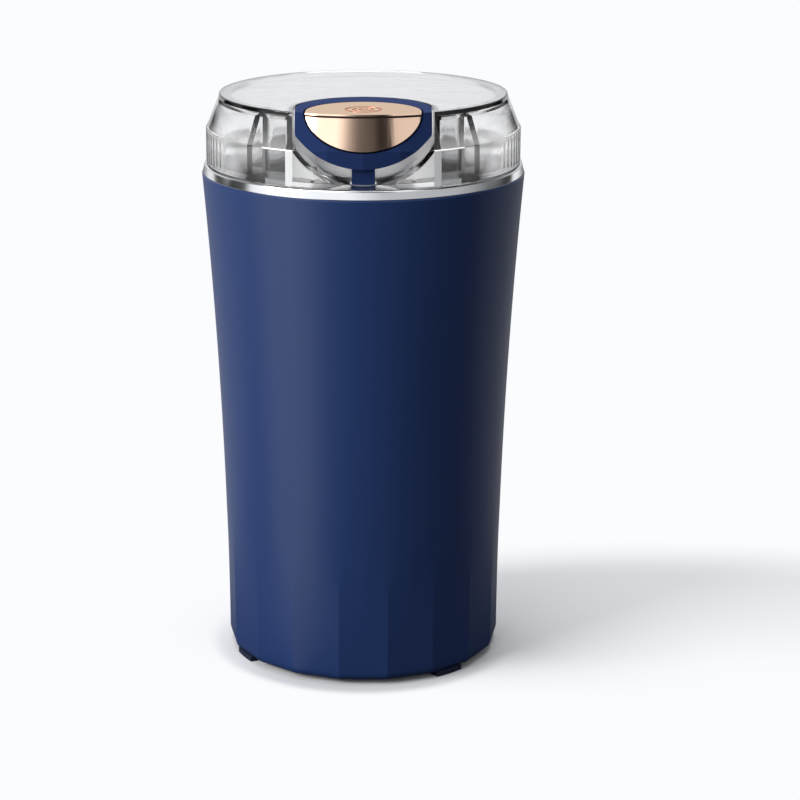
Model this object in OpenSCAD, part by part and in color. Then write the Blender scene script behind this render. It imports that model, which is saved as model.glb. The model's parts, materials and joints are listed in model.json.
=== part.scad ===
// Electric spice grinder: a flared housing with a faceted foot, a steel bowl with a
// four-winged blade, and a clear lid whose front button works a safety switch.
// Millimetres, +Z up, front at -Y, origin at the middle of the footprint.

/* [Housing] */
// Height of the whole grinder
total_h = 163; // [150:1:176]
// Height of the lid and its ring above the housing
lid_h = 22.2; // [22.2:0.2:26]
// Room from the bowl's radius out to the foot's radius
bowl_room = 4.5; // [4.5:0.5:7]
// Room from the motor's radius out to the foot's radius
motor_room = 12.5; // [12.5:0.5:15]
// How much the housing's radius grows up to its top edge
body_flare = 6; // [6:0.5:8]
// Wall of the housing
body_wall = 2.2; // [1.6:0.1:2.4]
// Rounding of the housing's lower edge
body_edge_r = 1.6; // [0.8:0.1:2]
// Height of the housing's lower edge above the table
foot_h = 1.5; // [1:0.1:2.5]
// Number of facets round the foot
facet_count = 18; // [12:1:24]
// Height at which the facets run out
facet_fade_z = 38; // [30:1:44]

/* [Trim ring] */
// Height of the bright ring
ring_h = 2.6; // [2:0.1:3.2]
// How far the ring lies behind the housing's edge
ring_setback = 0.3; // [0:0.1:0.6]
// How much the ring narrows upwards
ring_taper = 0.6; // [0:0.1:0.8]
// Radial width of the ring at its foot
ring_w = 2.2; // [1.8:0.1:2.2]

/* [Lid] */
// Gap between ring and lid
lid_gap = 0.1; // [0.1:0.1:0.3]
// How far the lid's upright wall lies behind the housing's edge
lid_setback = 1.3; // [1:0.1:1.7]
// Height of the upright wall
lid_side_h = 10; // [9:0.5:12]
// How much the lid narrows from its shoulder to its top
lid_taper = 3.9; // [2.7:0.1:5]
// Wall of the lid
lid_wall = 1.6; // [1.2:0.1:1.7]
// Thickness of the top disc
lid_top_t = 1.3; // [1:0.1:1.6]
// Width of the rim that carries the top disc
lid_rim_w = 3; // [2.5:0.5:4]
// Thickness of the web between wall and skirt
web_t = 1.4; // [1.2:0.1:1.8]
// Thickness of the skirt
skirt_t = 1.4; // [1.2:0.1:1.8]
// Depth of the skirt below the web
skirt_depth = 9.5; // [8:0.5:14]
// Gap between skirt and bowl
skirt_gap = 0.4; // [0.3:0.1:0.6]
// Angle of the two slanting ribs from the front
rib_angle = 45; // [42:1:60]
// Distance of the two upright side walls from the middle
side_wall_x = 26; // [24:0.5:28]
// Thickness of ribs and side walls
rib_t = 1.4; // [1:0.1:1.6]

/* [Button] */
// Half the button's width
button_half_w = 18.3; // [17.5:0.1:18.8]
// Distance of the round back's centre from the lid's wall
button_inset = 15.7; // [14.5:0.1:16]
// Depth of the frame's lowest point below the top
frame_drop = 14.1; // [13.6:0.1:14.6]
// Height of the frame's straight sides
frame_side_h = 5.7; // [5:0.1:7]
// Half the width of the metal plate
plate_half_w = 15.5; // [14.5:0.1:16]
// Depth of the plate's front face
plate_drop = 9.3; // [8.5:0.1:9.8]
// Distance of the plate's round back from the lid's wall
plate_inset = 10.2; // [9.2:0.1:11]
// Thickness of the plate
plate_t = 1.4; // [1:0.1:1.6]
// How far the button's front lies behind the lid's surface
button_setback = 0.4; // [0.2:0.1:0.6]
// Travel of the button
button_travel = 2; // [1.5:0.1:2.2]
// Gap between button and pocket
pocket_gap = 0.6; // [0.4:0.1:0.8]
// Wall of the pocket
pocket_wall = 1.3; // [1:0.1:1.5]
// Gap left under the pressed button
pocket_floor_gap = 2.3; // [2:0.1:2.5]
// Width of the button's stem
stem_w = 6.2; // [5:0.2:7]
// Thickness of the stem
stem_t = 3; // [2.4:0.1:3]
// Distance of the stem from the lid's outer face
stem_inset = 3.5; // [3.3:0.1:3.7]

/* [Bowl and deck] */
// Inner radius of the bowl
bowl_r = 35; // [33:0.5:38]
// Height of the bowl's floor as a share of the housing's height
floor_share = 0.6463; // [0.64:0.0001:0.67]
// Sheet thickness of the bowl
bowl_wall = 0.6; // [0.5:0.1:0.8]
// Inner radius of the bowl's lower corner
bowl_corner_r = 14; // [13:0.5:16]
// Width of the bowl's flange
flange_w = 2.2; // [1.8:0.1:2.2]
// Thickness of the gasket under the flange
gasket_t = 0.5; // [0.4:0.1:0.8]
// Thickness of the deck
deck_t = 2.6; // [2.2:0.1:3]
// How far the deck stands above the housing's edge
deck_rise = 0.2; // [0:0.1:0.4]

/* [Blade] */
// Gap between the blade's circle and the bowl's wall
blade_gap = 6; // [5:0.5:9]
// Width of a wing
wing_w = 8; // [7:0.5:9]
// Thickness of the blade
blade_t = 1.5; // [1.2:0.1:1.8]
// Radius at which the wings are bent
bend_r = 15; // [13:0.5:17]
// Upward bend of two wings
bend_up = 28; // [20:1:32]
// Downward bend of the other two
bend_down = 10; // [6:1:12]
// Height of the collar under the blade above the bowl's floor
hub_rise = 2.4; // [2:0.1:3]
// Height of the collar
hub_h = 3.1; // [2.5:0.1:4]
// Width of the nut across its corners
nut_w = 12.4; // [11:0.2:13]
// Height of the nut's hexagon
nut_h = 4.4; // [4:0.1:5]

/* [Motor] */
// Radius of the shaft
shaft_r = 3; // [2.5:0.1:3.2]
// Height of the shaft's lower end
shaft_foot_z = 11.4; // [10:0.2:12]
// Outer radius of the stator
stator_r = 27; // [26:0.5:27.5]
// Width of the stator's yoke
yoke_w = 5; // [4.5:0.1:5.5]
// Height of the stator's lower face
stator_z = 36; // [35.5:0.5:37]
// Radius of the armature
armature_r = 14.4; // [13.5:0.1:15]
// Gap between armature and stator
air_gap = 0.6; // [0.4:0.1:0.8]
// Number of armature slots
slot_count = 12; // [10:1:12]
// Height of the windings' ends beyond the stack
end_turn_h = 6; // [5:0.5:6]
// Radius of the commutator
commutator_r = 9; // [8:0.1:9.5]
// Height of the commutator's brush track
commutator_h = 8; // [7:0.5:8.5]
// Radius of the cooling fan
fan_r = 20.5; // [18:0.5:21]
// Height of the cooling fan
fan_h = 8.6; // [7:0.2:8.8]
// Number of fan vanes
vane_count = 10; // [8:1:12]
// Outer radius of both ball bearings
bearing_r = 9.5; // [9:0.1:10]
// Width of both ball bearings
bearing_w = 6; // [5:0.5:6]
// Height of the lower bearing
bearing_low_z = 13; // [12.8:0.1:13]
// Depth of the upper bearing's lower face below the carrier
bearing_drop = 5; // [4.6:0.1:5]
// Thickness of both motor brackets
bracket_t = 2; // [1.6:0.1:2.4]
// Width of the brackets' uprights
upright_w = 14; // [12:0.5:16]
// Wall of the bearing housings
housing_t = 1.6; // [1.2:0.1:2]
// Width of a carbon brush
brush_w = 5.8; // [5:0.1:6]
// Height of a carbon brush
brush_h = 6; // [5:0.1:6]

/* [Carrier] */
// Depth of the carrier plate's lower face below the bowl's floor
carrier_drop = 11; // [10:0.1:13]
// Thickness of the carrier plate
carrier_t = 3; // [2.5:0.1:3.5]
// Distance of the carrier plate's edge from the foot's radius
carrier_inset = 5.5; // [5:0.5:6.5]
// Distance of the carrier's screws from the foot's radius
ear_inset = 4.1; // [3.9:0.1:4.5]
// Distance of the motor's screws in the carrier from the axis
mount_centre = 22; // [21.5:0.1:22.4]
// Height of the rubber rings between motor and carrier
isolator_h = 2; // [1.6:0.1:2.2]

/* [Base] */
// Thickness of the base cover
cover_t = 2.7; // [2.2:0.1:3.2]
// Distance of the base screws from the foot's radius
base_screw_inset = 7; // [6.7:0.1:7.5]
// Height of the bosses for the base screws
boss_h = 11.8; // [10:0.2:13]
// Turn of the feet's rectangle round the axis
foot_turn = -12; // [-15:1:-8]
// Half the angle between two neighbouring feet
foot_spread = 52; // [50:1:56]
// Width of a foot
foot_w = 9; // [8:0.5:10]
// Length of a foot towards the axis
foot_l = 7.2; // [6.5:0.1:8]
// Number of cooling slots in the base
vent_count = 16; // [10:1:18]
// Height of the cord's opening
cord_z = 20; // [19:0.5:24]
// Radius of the bore for the cord
cord_bore_r = 3.1; // [2.6:0.1:3.4]
// Wall of the grommet
grommet_t = 1.3; // [1:0.1:1.5]

/* [Safety switch] */
// Radius of the push rod
rod_r = 1.1; // [0.9:0.1:1.1]
// Distance of the push rod behind the button's stem
rod_inset = 2.9; // [2.8:0.1:3]
// Width of the push rod's head
rod_head_w = 4.8; // [4:0.1:5]
// Length of the switch
switch_l = 20; // [19:0.5:20]
// Thickness of the switch
switch_t = 6.4; // [6:0.1:6.4]
// Height of the switch
switch_h = 10.4; // [10:0.1:11]
// Distance of the switch's back from the push rod
switch_inset = 7.3; // [7.2:0.1:7.8]
// Depth of the lever's pin below the carrier
pin_drop = 0.4; // [0.3:0.1:0.5]
// Distance of the lever's pin from the middle
pin_x = 8.5; // [8:0.1:8.6]
// Distance of the push rod's nose from the middle
nose_x = 4.5; // [4:0.1:4.6]
// Distance of the plunger from the middle, on the pin's side
plunger_x = 3.5; // [3.2:0.1:4]
// Thickness of the lever
lever_t = 0.4; // [0.3:0.1:0.5]

/* [Fits] */
// Running clearance of shafts, pins and screws
run_gap = 0.05; // [0.03:0.01:0.08]
// Clearance of sliding pieces
slide_gap = 0.1; // [0.08:0.01:0.15]
// Clearance of pieces set into each other
seat_gap = 0.2; // [0.15:0.01:0.3]
// Clearance between pieces that move past each other
pass_gap = 0.3; // [0.3:0.05:0.4]

/* [Hidden] */

// Smoothness of round pieces
fine = 96;
wall_steps = 18;
arc_steps = 10;
// Overlap of pieces that are joined or cut
eps = 0.01;
// More than any piece is wide
far = 60;
// How far a cutting shape reaches past what it cuts
cut = 1;

// Colours
navy = [0.17, 0.24, 0.42];
clear_plastic = [0.85, 0.87, 0.88, 0.5];
rose_gold = [0.85, 0.66, 0.55];
bright_steel = [0.78, 0.79, 0.80];
dull_steel = [0.55, 0.57, 0.59];
black_plastic = [0.12, 0.12, 0.13];
rubber = [0.08, 0.08, 0.09];
copper = [0.72, 0.42, 0.24];
brass = [0.80, 0.66, 0.36];
white_rubber = [0.88, 0.88, 0.87];
red_plastic = [0.62, 0.12, 0.10];
amber = [0.80, 0.62, 0.15];

// Housing and deck
body_top_z = total_h - lid_h;
body_bottom_r = max(bowl_r + bowl_room, stator_r + motor_room);
cover_top_z = foot_h + cover_t;
deck_top_z = body_top_z + deck_rise;
deck_z = deck_top_z - deck_t;
deck_r = body_r(deck_z) - body_wall - pass_gap;
deck_in_r = bowl_r + bowl_wall + 2 * seat_gap;
ledge_w = 1.7;
ledge_h = 1.5;
boss_web_t = 2;
carrier_boss_h = 11;
screw_hole_h = 9;
cross_w = 0.8;
guide_half_w = 3.5;
ring_out_r = body_r(body_top_z) - ring_setback;
ring_in_r = ring_out_r - ring_w;
ring_top_z = body_top_z + ring_h;

// Bowl
bowl_floor_z = body_top_z * floor_share;
flange_z = deck_top_z + gasket_t;
rim_z = flange_z + bowl_wall;
flange_r = bowl_r + bowl_wall + flange_w;
seal_r = 6.9;
seal_flange_r = 8.4;
seal_flange_h = 1.2;
seal_depth = 6;

// Blade stack on the shaft
blade_r = bowl_r - blade_gap;
hub_z = bowl_floor_z + hub_rise;
hub_r = 6;
blade_z = hub_z + hub_h;
washer_t = 1;
washer_r = 6.5;
nut_z = blade_z + blade_t + washer_t;
nut_dome_h = 1.8;
shaft_setback = 0.5;
shaft_top_z = nut_z + nut_h - shaft_setback;
hub_collar_w = 1.2;
hub_collar_h = 1;

// Lid
lid_z = ring_top_z + lid_gap;
lid_r = body_r(body_top_z) - lid_setback;
lid_top_r = lid_r - lid_taper;
shoulder_z = lid_z + lid_side_h;
disc_z = total_h - lid_top_t;
web_z = lid_z + lid_gap;
rim_t = 1.4;
web_top_z = web_z + web_t;
skirt_r = bowl_r - skirt_gap;
skirt_in_r = skirt_r - skirt_t;
skirt_z = web_z - skirt_depth;
seal_band_h = 2.2;
seal_band_rise = 3;
seal_band_z = skirt_z + seal_band_rise;
seal_band_depth = 0.7;
seal_band_proud = 0.15;

// Button and pocket
button_centre = lid_r - button_inset;
plate_centre = lid_r - plate_inset;
stem_centre = lid_r - stem_inset;
frame_bottom_z = total_h - frame_drop;
frame_corner_z = total_h - frame_side_h;
pocket_half_w = button_half_w + pocket_gap;
pocket_bottom_z = frame_bottom_z - button_travel - pocket_floor_gap;
pocket_corner_z = frame_corner_z - button_travel;
rib_back = skirt_r + 2;
side_wall_back = skirt_in_r - 8;
prop_back = button_centre + 4;
bottom_rib_x = stem_w / 2 + 7.5;
bottom_rib_t = 1;
bottom_rib_h = 3;
stem_front = stem_centre + stem_t / 2;
stem_back = stem_centre - stem_t / 2;
stem_foot_z = deck_top_z + 2 * pass_gap;
frame_wall = 1.8;
spring_centre = button_centre - 1.5;
spring_seat_r = 3.4;
spring_seat_t = 1.2;
spring_seat_z = total_h - plate_drop - spring_seat_t;
spring_foot_z = pocket_bottom_z + 0.5;
spring_peg_r = 1.7;
spring_peg_h = 3.4;

// Carrier, which the motor hangs from
carrier_z = bowl_floor_z - carrier_drop;
carrier_top_z = carrier_z + carrier_t;
carrier_r = body_bottom_r - carrier_inset;
ear_centre = body_bottom_r - ear_inset;
boss_r = 2.6;
bowl_seat_z = bowl_floor_z - bowl_wall;
screw_r = 1.2;
mount_screw_r = 1.7;
head_w = 1;
pan_head_h = 1.8;

// Motor
bearing_high_z = carrier_z - bearing_drop;
washer_gap = 2;
coil_gap = 0.4;
fan_z = bearing_high_z - washer_gap - fan_h;
stack_top_z = fan_z - coil_gap - end_turn_h;
stack_h = stack_top_z - stator_z;
stator_bore_r = armature_r + air_gap;
yoke_r = stator_r - yoke_w;
pole_half_w = 7.5;
slot_r = 2;
slot_centre = armature_r - slot_r - 2.4;
slot_mouth_w = 1.4;
shoe_r = stator_bore_r + 2.5;
motor_screw_centre = yoke_r + yoke_w / 2;
motor_screw_r = 1.5;
low_bracket_z = bearing_low_z + 1;
high_bracket_z = carrier_z - isolator_h - bracket_t;
housing_r = bearing_r + run_gap + housing_t;
cup_lip = 0.4;
commutator_z = stator_z - end_turn_h - 1.5 - commutator_h;
riser_h = 1.3;
track_mid_z = commutator_z + commutator_h / 2;
brush_l = 8;
holder_t = 1.1;
holder_in_x = commutator_r + 1.2;
holder_out_x = 25;
holder_end = 0.8;
brush_spring_r = 1.8;

// Base
base_screw_centre = body_bottom_r - base_screw_inset;
base_boss_r = 3.2;
base_screw_r = 1.4;
base_head_r = 2.9;
foot_out_r = body_bottom_r - 0.8;
foot_stud_centre = foot_out_r - foot_l / 2 - 0.8;
foot_stud_r = 2;
foot_stud_h = 2.1;
foot_angles = [
    foot_turn + foot_spread, foot_turn - foot_spread,
    foot_turn + 180 - foot_spread, foot_turn + 180 + foot_spread
];
head_room = 1.4;
capacitor_angle = foot_turn + 135;
capacitor_half_l = 6.5;
capacitor_in_r = stator_r + 1;
capacitor_t = 5.2;
capacitor_h = 11;
grommet_r = cord_bore_r + grommet_t;
grommet_flange_r = grommet_r + 1.4;
grommet_flange_t = 1.2;
facet_d = body_bottom_r * cos(180 / facet_count);
facet_slope = (body_r(facet_fade_z) - facet_d) / facet_fade_z;
cord_face_y = facet_d + facet_slope * (cord_z + grommet_flange_r);
cord_wall_y = sqrt(pow(body_r(cord_z - grommet_flange_r) - body_wall, 2) - pow(grommet_flange_r, 2));

// Switch and push rod
rod_centre = stem_centre - rod_inset;
switch_y = rod_centre - switch_inset;
pin_z = carrier_z - pin_drop;
lever_room = 2.8;
switch_top_z = pin_z - lever_room;
switch_z = switch_top_z - switch_h;
terminal_l = 4.4;
terminal_x = 7;
switch_screw_x = 6.5;
switch_screw_z = switch_z + 3;
switch_screw_r = 1;
switch_screw_head_r = 1.6;
switch_screw_head_h = 1.2;
switch_mid_y = switch_y + switch_t / 2;
ear_t = 1;
ear_r = 1.4;
pin_r = 0.5;
eye_r = 1;
lever_w = switch_t - 2 * ear_t - 2 * seat_gap;
lever_bottom_z = pin_z + 0.2;
lever_top_z = lever_bottom_z + lever_t;
nose_r = 0.9;
nose_z = lever_top_z + pass_gap + nose_r;
heel_h = 2.6;
heel_out_y = rod_centre + 0.6;
plunger_w = 1.2;
plunger_l = 2.4;
plunger_h = 4.7;
rod_top_z = stem_foot_z - pass_gap;
rod_head_h = 7.5;
rod_head_back = flange_r + 2 * seat_gap;
rod_head_front = stem_front - pass_gap;
guide_top_z = body_top_z - 32.8;
guide_h = 2;
collar_z = guide_top_z + 13;
collar_h = 1.5;
collar_r = 1.8;
rod_coil_r = 1.5;
tab_t = 2;
tab_half_w = 11;

// Routes of the two leads, from the switch to the brush holders
lead_r = 0.8;
lead_z = switch_z - terminal_l;
lead_right = [
    [terminal_x, -switch_mid_y, lead_z], [terminal_x + 0.5, -switch_mid_y + 0.2, lead_z - 5],
    [13, -31.5, 49], [22, -25, 42], [29, -17, 36], [31.5, -9, 30.5], [30, -3, 26.5],
    [holder_out_x + 1.4, 0, track_mid_z + 0.5]
];
lead_left = [for (p = lead_right) [-p[0], p[1], p[2]]];

// ---- formulas ----

// Radius of the housing's outer surface at height z
function body_r(z) = body_bottom_r + body_flare * pow(z / body_top_z, 2);

// Radius of the lid's surface at height z
function lid_side_r(z) =
    z < shoulder_z ? lid_r
    : lid_r - (lid_r - lid_top_r) * (z - shoulder_z) / (total_h - shoulder_z);

// Points up the housing's surface, set in by inset
function wall_points(z0, z1, inset) = [
    for (i = [0:wall_steps])
        let (z = z0 + (z1 - z0) * i / wall_steps)
        [body_r(z) - inset, z]
];

// Points on an arc, its last point left out
function arc(x, z, r, a0, a1) = [
    for (i = [0:arc_steps - 1])
        let (a = a0 + (a1 - a0) * i / arc_steps)
        [x + r * cos(a), z + r * sin(a)]
];

function reversed(list) = [for (i = [len(list) - 1:-1:0]) list[i]];

// Radius of an arc from half its width and its rise
function sag_r(w, rise) = (w * w + rise * rise) / (2 * rise);

// Point t of 0 to 1 on a smooth curve from b to c, with a before and d after them
function smooth(a, b, c, d, t) =
    0.5 * (2 * b + (c - a) * t + (2 * a - 5 * b + 4 * c - d) * t * t
    + (3 * b - a - 3 * c + d) * t * t * t);

function unit(v) = v / norm(v);

// ---- shapes that repeat ----

module ring(r_in, r_out, z0, z1) {
    translate([0, 0, z0])
        difference() {
            cylinder(r = r_out, h = z1 - z0, $fn = fine);
            translate([0, 0, -cut])
                cylinder(r = r_in, h = z1 - z0 + 2 * cut, $fn = fine);
        }
}

// Places its children at an angle from the front, towards +X
module at_angle(a) {
    rotate([0, 0, a])
        children();
}

module rod_z(r, z0, z1) {
    translate([0, 0, z0])
        cylinder(r = r, h = z1 - z0, $fn = fine);
}

module rod_y(r, y0, y1) {
    translate([0, y1, 0])
        rotate([90, 0, 0])
            cylinder(r = r, h = y1 - y0, $fn = fine);
}

// A box by its two corners
module box(low, high) {
    translate(low)
        cube(high - low);
}

// A wound spring standing on z = 0
module coil(r, wire, h, turns) {
    sides = 6;
    per_turn = 14;
    rings = turns * per_turn;
    points = [
        for (i = [0:rings], k = [0:sides - 1])
            let (
                a = 360 * i / per_turn,
                b = 360 * k / sides,
                reach = r + wire * cos(b)
            )
            [reach * cos(a), reach * sin(a), wire + (h - 2 * wire) * i / rings + wire * sin(b)]
    ];
    polyhedron(points, tube_faces(rings, sides), convexity = 10);
}

// Faces of a tube of rings that each have the same number of sides
function tube_faces(rings, sides) = concat(
    [[for (k = [0:sides - 1]) k]],
    [
        for (i = [0:rings - 1], k = [0:sides - 1])
            let (n = (k + 1) % sides)
            [i * sides + k, (i + 1) * sides + k, (i + 1) * sides + n]
    ],
    [
        for (i = [0:rings - 1], k = [0:sides - 1])
            let (n = (k + 1) % sides)
            [i * sides + k, (i + 1) * sides + n, i * sides + n]
    ],
    [[for (k = [sides - 1:-1:0]) rings * sides + k]]
);

// A lead swept along a smooth curve through its route
module lead(route) {
    sides = 8;
    per_stretch = 3;
    last = len(route) - 1;
    path = [
        for (s = [0:last - 1], t = [0:per_stretch - 1])
            smooth(route[max(s - 1, 0)], route[s], route[s + 1], route[min(s + 2, last)],
                t / per_stretch),
        route[last]
    ];
    rings = len(path) - 1;
    points = [
        for (i = [0:rings])
            let (
                along = unit(path[min(i + 1, rings)] - path[max(i - 1, 0)]),
                across = unit(cross(along, [0.3, 0.2, 1])),
                up = cross(across, along)
            )
            for (k = [0:sides - 1])
                path[i] + lead_r * (cos(360 * k / sides) * across + sin(360 * k / sides) * up)
    ];
    polyhedron(points, tube_faces(rings, sides), convexity = 10);
}

// A screw pointing up, its head below z = 0
module screw_up(shank_r, shank_l, head_r, head_h) {
    rod_z(shank_r, -eps, shank_l);
    difference() {
        rod_z(head_r, -head_h, 0);
        for (turn = [0, 90])
            rotate([0, 0, turn])
                box([-head_r, -cross_w / 2, -head_h - cut], [head_r, cross_w / 2, -head_h + cross_w]);
    }
}

// ---- housing ----

module facet_planes() {
    half_w = facet_d * tan(180 / facet_count) + 3;
    reach = 8;
    below = 4;
    for (i = [0:facet_count - 1])
        at_angle(i * 360 / facet_count)
            translate([0, -facet_d, 0])
                rotate([atan(facet_slope), 0, 0])
                    box([-half_w, -reach, -below], [half_w, 0, facet_fade_z]);
}

// A screw boss joined to the housing's wall
module wall_boss(angle, centre, r, z0, z1) {
    at_angle(angle) {
        translate([0, -centre, 0])
            rod_z(r, z0, z1);
        box([-boss_web_t / 2, -body_r(z0) + body_wall / 2, z0], [boss_web_t / 2, -centre, z1]);
    }
}

module body_shell() {
    color(navy)
        difference() {
            union() {
                difference() {
                    rotate_extrude($fn = fine)
                        polygon(concat(
                            arc(body_r(foot_h + body_edge_r) - body_edge_r,
                                foot_h + body_edge_r, body_edge_r, -90, 0),
                            wall_points(foot_h + body_edge_r, body_top_z, 0),
                            reversed(wall_points(foot_h, body_top_z, body_wall))
                        ));
                    facet_planes();
                }
                ring(body_r(deck_z) - body_wall - ledge_w, body_r(deck_z) - body_wall / 2,
                    deck_z - ledge_h, deck_z);
                for (i = [0:3]) {
                    wall_boss(foot_turn + 90 * i, base_screw_centre, base_boss_r,
                        cover_top_z, cover_top_z + boss_h);
                    wall_boss(45 + 90 * i, ear_centre, boss_r,
                        carrier_top_z, carrier_top_z + carrier_boss_h);
                }
                box([-guide_half_w, -body_r(guide_top_z) + body_wall / 2, guide_top_z - guide_h],
                    [guide_half_w, -bowl_r - bowl_wall - 3 * seat_gap, guide_top_z]);
            }
            for (i = [0:3]) {
                at_angle(foot_turn + 90 * i)
                    translate([0, -base_screw_centre, 0])
                        rod_z(base_screw_r + run_gap, cover_top_z - cut, cover_top_z + screw_hole_h);
                at_angle(45 + 90 * i)
                    translate([0, -ear_centre, 0])
                        rod_z(screw_r + run_gap, carrier_top_z - cut, carrier_top_z + screw_hole_h);
            }
            // way of the push rod through the ledge and the guide
            box([-rod_head_w / 2 - seat_gap, -rod_head_front - seat_gap, deck_z - ledge_h - cut],
                [rod_head_w / 2 + seat_gap, -rod_centre, deck_z + cut]);
            translate([0, -rod_centre, 0])
                rod_z(rod_r + slide_gap, guide_top_z - guide_h - cut, guide_top_z + cut);
            translate([0, 0, cord_z])
                rod_y(grommet_r + slide_gap, cord_wall_y - cut, body_r(cord_z) + cut);
        }
}

module trim_ring() {
    edge = 0.4;
    color(bright_steel)
        rotate_extrude($fn = fine)
            polygon([
                [ring_in_r, body_top_z],
                [ring_out_r, body_top_z],
                [ring_out_r, body_top_z + edge],
                [ring_out_r - ring_taper, ring_top_z - edge],
                [ring_out_r - ring_taper - edge, ring_top_z],
                [ring_in_r, ring_top_z]
            ]);
}

module top_deck() {
    color(black_plastic)
        difference() {
            ring(deck_in_r, deck_r, deck_z, deck_top_z);
            box([-stem_w / 2 - 2 * seat_gap, -stem_front - seat_gap, deck_z - cut],
                [stem_w / 2 + 2 * seat_gap, -rod_head_back + seat_gap, deck_top_z + cut]);
        }
}

module bowl_gasket() {
    color(rubber)
        ring(deck_in_r, flange_r, deck_top_z, flange_z);
}

module grinding_bowl() {
    corner = bowl_r - bowl_corner_r;
    corner_z = bowl_floor_z + bowl_corner_r;
    color(bright_steel)
        rotate_extrude($fn = fine)
            polygon(concat(
                [[seal_r + run_gap, bowl_floor_z]],
                arc(corner, corner_z, bowl_corner_r, -90, 0),
                [[bowl_r, corner_z], [bowl_r, rim_z], [flange_r, rim_z], [flange_r, flange_z]],
                [[bowl_r + bowl_wall, flange_z]],
                arc(corner, corner_z, bowl_corner_r + bowl_wall, 0, -90),
                [[corner, bowl_seat_z], [seal_r + run_gap, bowl_seat_z]]
            ));
}

module shaft_seal() {
    color(rubber) {
        ring(shaft_r + run_gap, seal_r, bowl_floor_z - seal_depth, bowl_floor_z);
        ring(shaft_r + run_gap, seal_flange_r, bowl_floor_z, bowl_floor_z + seal_flange_h);
    }
}

// ---- carrier between bowl and motor ----

module motor_carrier() {
    hub_wall = 2.75;
    inner_ring_r = 15.5;
    outer_ring_r = 18;
    rib_half_t = 0.8;
    ear_half_w = 4.5;
    overlap = 3;
    tab_side = 1.6;
    bearing_room = 2.2;
    color(black_plastic)
        difference() {
            union() {
                rod_z(carrier_r, carrier_z, carrier_top_z);
                ring(seal_r + run_gap, seal_r + run_gap + hub_wall, carrier_top_z - eps, bowl_seat_z);
                ring(inner_ring_r, outer_ring_r, carrier_top_z - eps, bowl_seat_z);
                for (i = [0:5])
                    at_angle(60 * i)
                        box([-rib_half_t, -inner_ring_r - rib_half_t, carrier_top_z - eps],
                            [rib_half_t, -seal_r - hub_wall + rib_half_t, bowl_seat_z]);
                for (i = [0:3])
                    at_angle(45 + 90 * i)
                        intersection() {
                            box([-ear_half_w, -far, carrier_z],
                                [ear_half_w, -carrier_r + overlap, carrier_top_z]);
                            rod_z(body_r(carrier_z) - body_wall - 3 * seat_gap, carrier_z,
                                carrier_top_z);
                        }
                box([-tab_half_w, -switch_y, switch_z - tab_t],
                    [tab_half_w, -switch_y + tab_t, carrier_z + cut]);
            }
            // room for the bearing housing and the shaft
            rod_z(housing_r + 2 * seat_gap, carrier_z - cut, carrier_z + bearing_room);
            rod_z(seal_r + run_gap, carrier_z, bowl_seat_z + cut);
            // notch over the switch
            box([-tab_half_w - tab_side, -far, carrier_z - cut],
                [tab_half_w + tab_side, -switch_y, carrier_top_z + cut]);
            for (i = [0:3])
                at_angle(45 + 90 * i) {
                    translate([0, -ear_centre, 0])
                        rod_z(screw_r + seat_gap, carrier_z - cut, carrier_top_z + cut);
                    translate([0, -mount_centre, 0])
                        rod_z(mount_screw_r + run_gap, carrier_z - cut, carrier_top_z + cut);
                }
            for (side = [-1, 1])
                translate([side * switch_screw_x, 0, switch_screw_z])
                    rod_y(switch_screw_r + run_gap, -switch_y - cut, -switch_y + tab_t + cut);
        }
}

module carrier_screws() {
    color(dull_steel)
        for (i = [0:3])
            at_angle(45 + 90 * i)
                translate([0, -ear_centre, carrier_z])
                    screw_up(screw_r, carrier_t + screw_hole_h - cut, screw_r + head_w, pan_head_h);
}

module mount_screws() {
    color(dull_steel)
        for (i = [0:3])
            at_angle(45 + 90 * i)
                translate([0, -mount_centre, carrier_top_z])
                    rotate([180, 0, 0])
                        screw_up(mount_screw_r, carrier_t + isolator_h + bracket_t - seat_gap,
                            mount_screw_r + head_w, pan_head_h);
}

module isolators() {
    color(rubber)
        for (i = [0:3])
            at_angle(45 + 90 * i)
                translate([0, -mount_centre, 0])
                    ring(mount_screw_r + seat_gap, 4.4, carrier_z - isolator_h, carrier_z);
}

// ---- base ----

module base_cover() {
    cover_r = body_bottom_r - body_wall - seat_gap;
    clip_half_t = 0.7;
    clip_h = 4;
    vent_half_w = 0.9;
    vent_in_r = 11;
    vent_out_r = 24;
    color(black_plastic)
        difference() {
            union() {
                rod_z(cover_r, foot_h, cover_top_z);
                at_angle(capacitor_angle)
                    for (side = [-1, 1])
                        translate([side * (capacitor_half_l + clip_half_t + seat_gap), 0, 0])
                            box([-clip_half_t, -capacitor_in_r - capacitor_t, cover_top_z - eps],
                                [clip_half_t, -capacitor_in_r - 1, cover_top_z + clip_h]);
            }
            for (i = [0:3])
                at_angle(foot_turn + 90 * i)
                    translate([0, -base_screw_centre, 0]) {
                        rod_z(base_screw_r + seat_gap, foot_h - cut, cover_top_z + cut);
                        rod_z(base_head_r + seat_gap, foot_h - cut, foot_h + head_room);
                    }
            for (a = foot_angles)
                at_angle(a)
                    translate([0, -foot_stud_centre, 0])
                        rod_z(foot_stud_r + run_gap, foot_h - cut, cover_top_z + cut);
            for (i = [0:vent_count - 1])
                at_angle(i * 360 / vent_count)
                    box([-vent_half_w, -vent_out_r, foot_h - cut],
                        [vent_half_w, -vent_in_r, cover_top_z + cut]);
        }
}

module base_screws() {
    color(dull_steel)
        for (i = [0:3])
            at_angle(foot_turn + 90 * i)
                translate([0, -base_screw_centre, foot_h + head_room])
                    screw_up(base_screw_r, cover_t + screw_hole_h - head_room - 2 * cut, base_head_r,
                        head_room - seat_gap);
}

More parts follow.
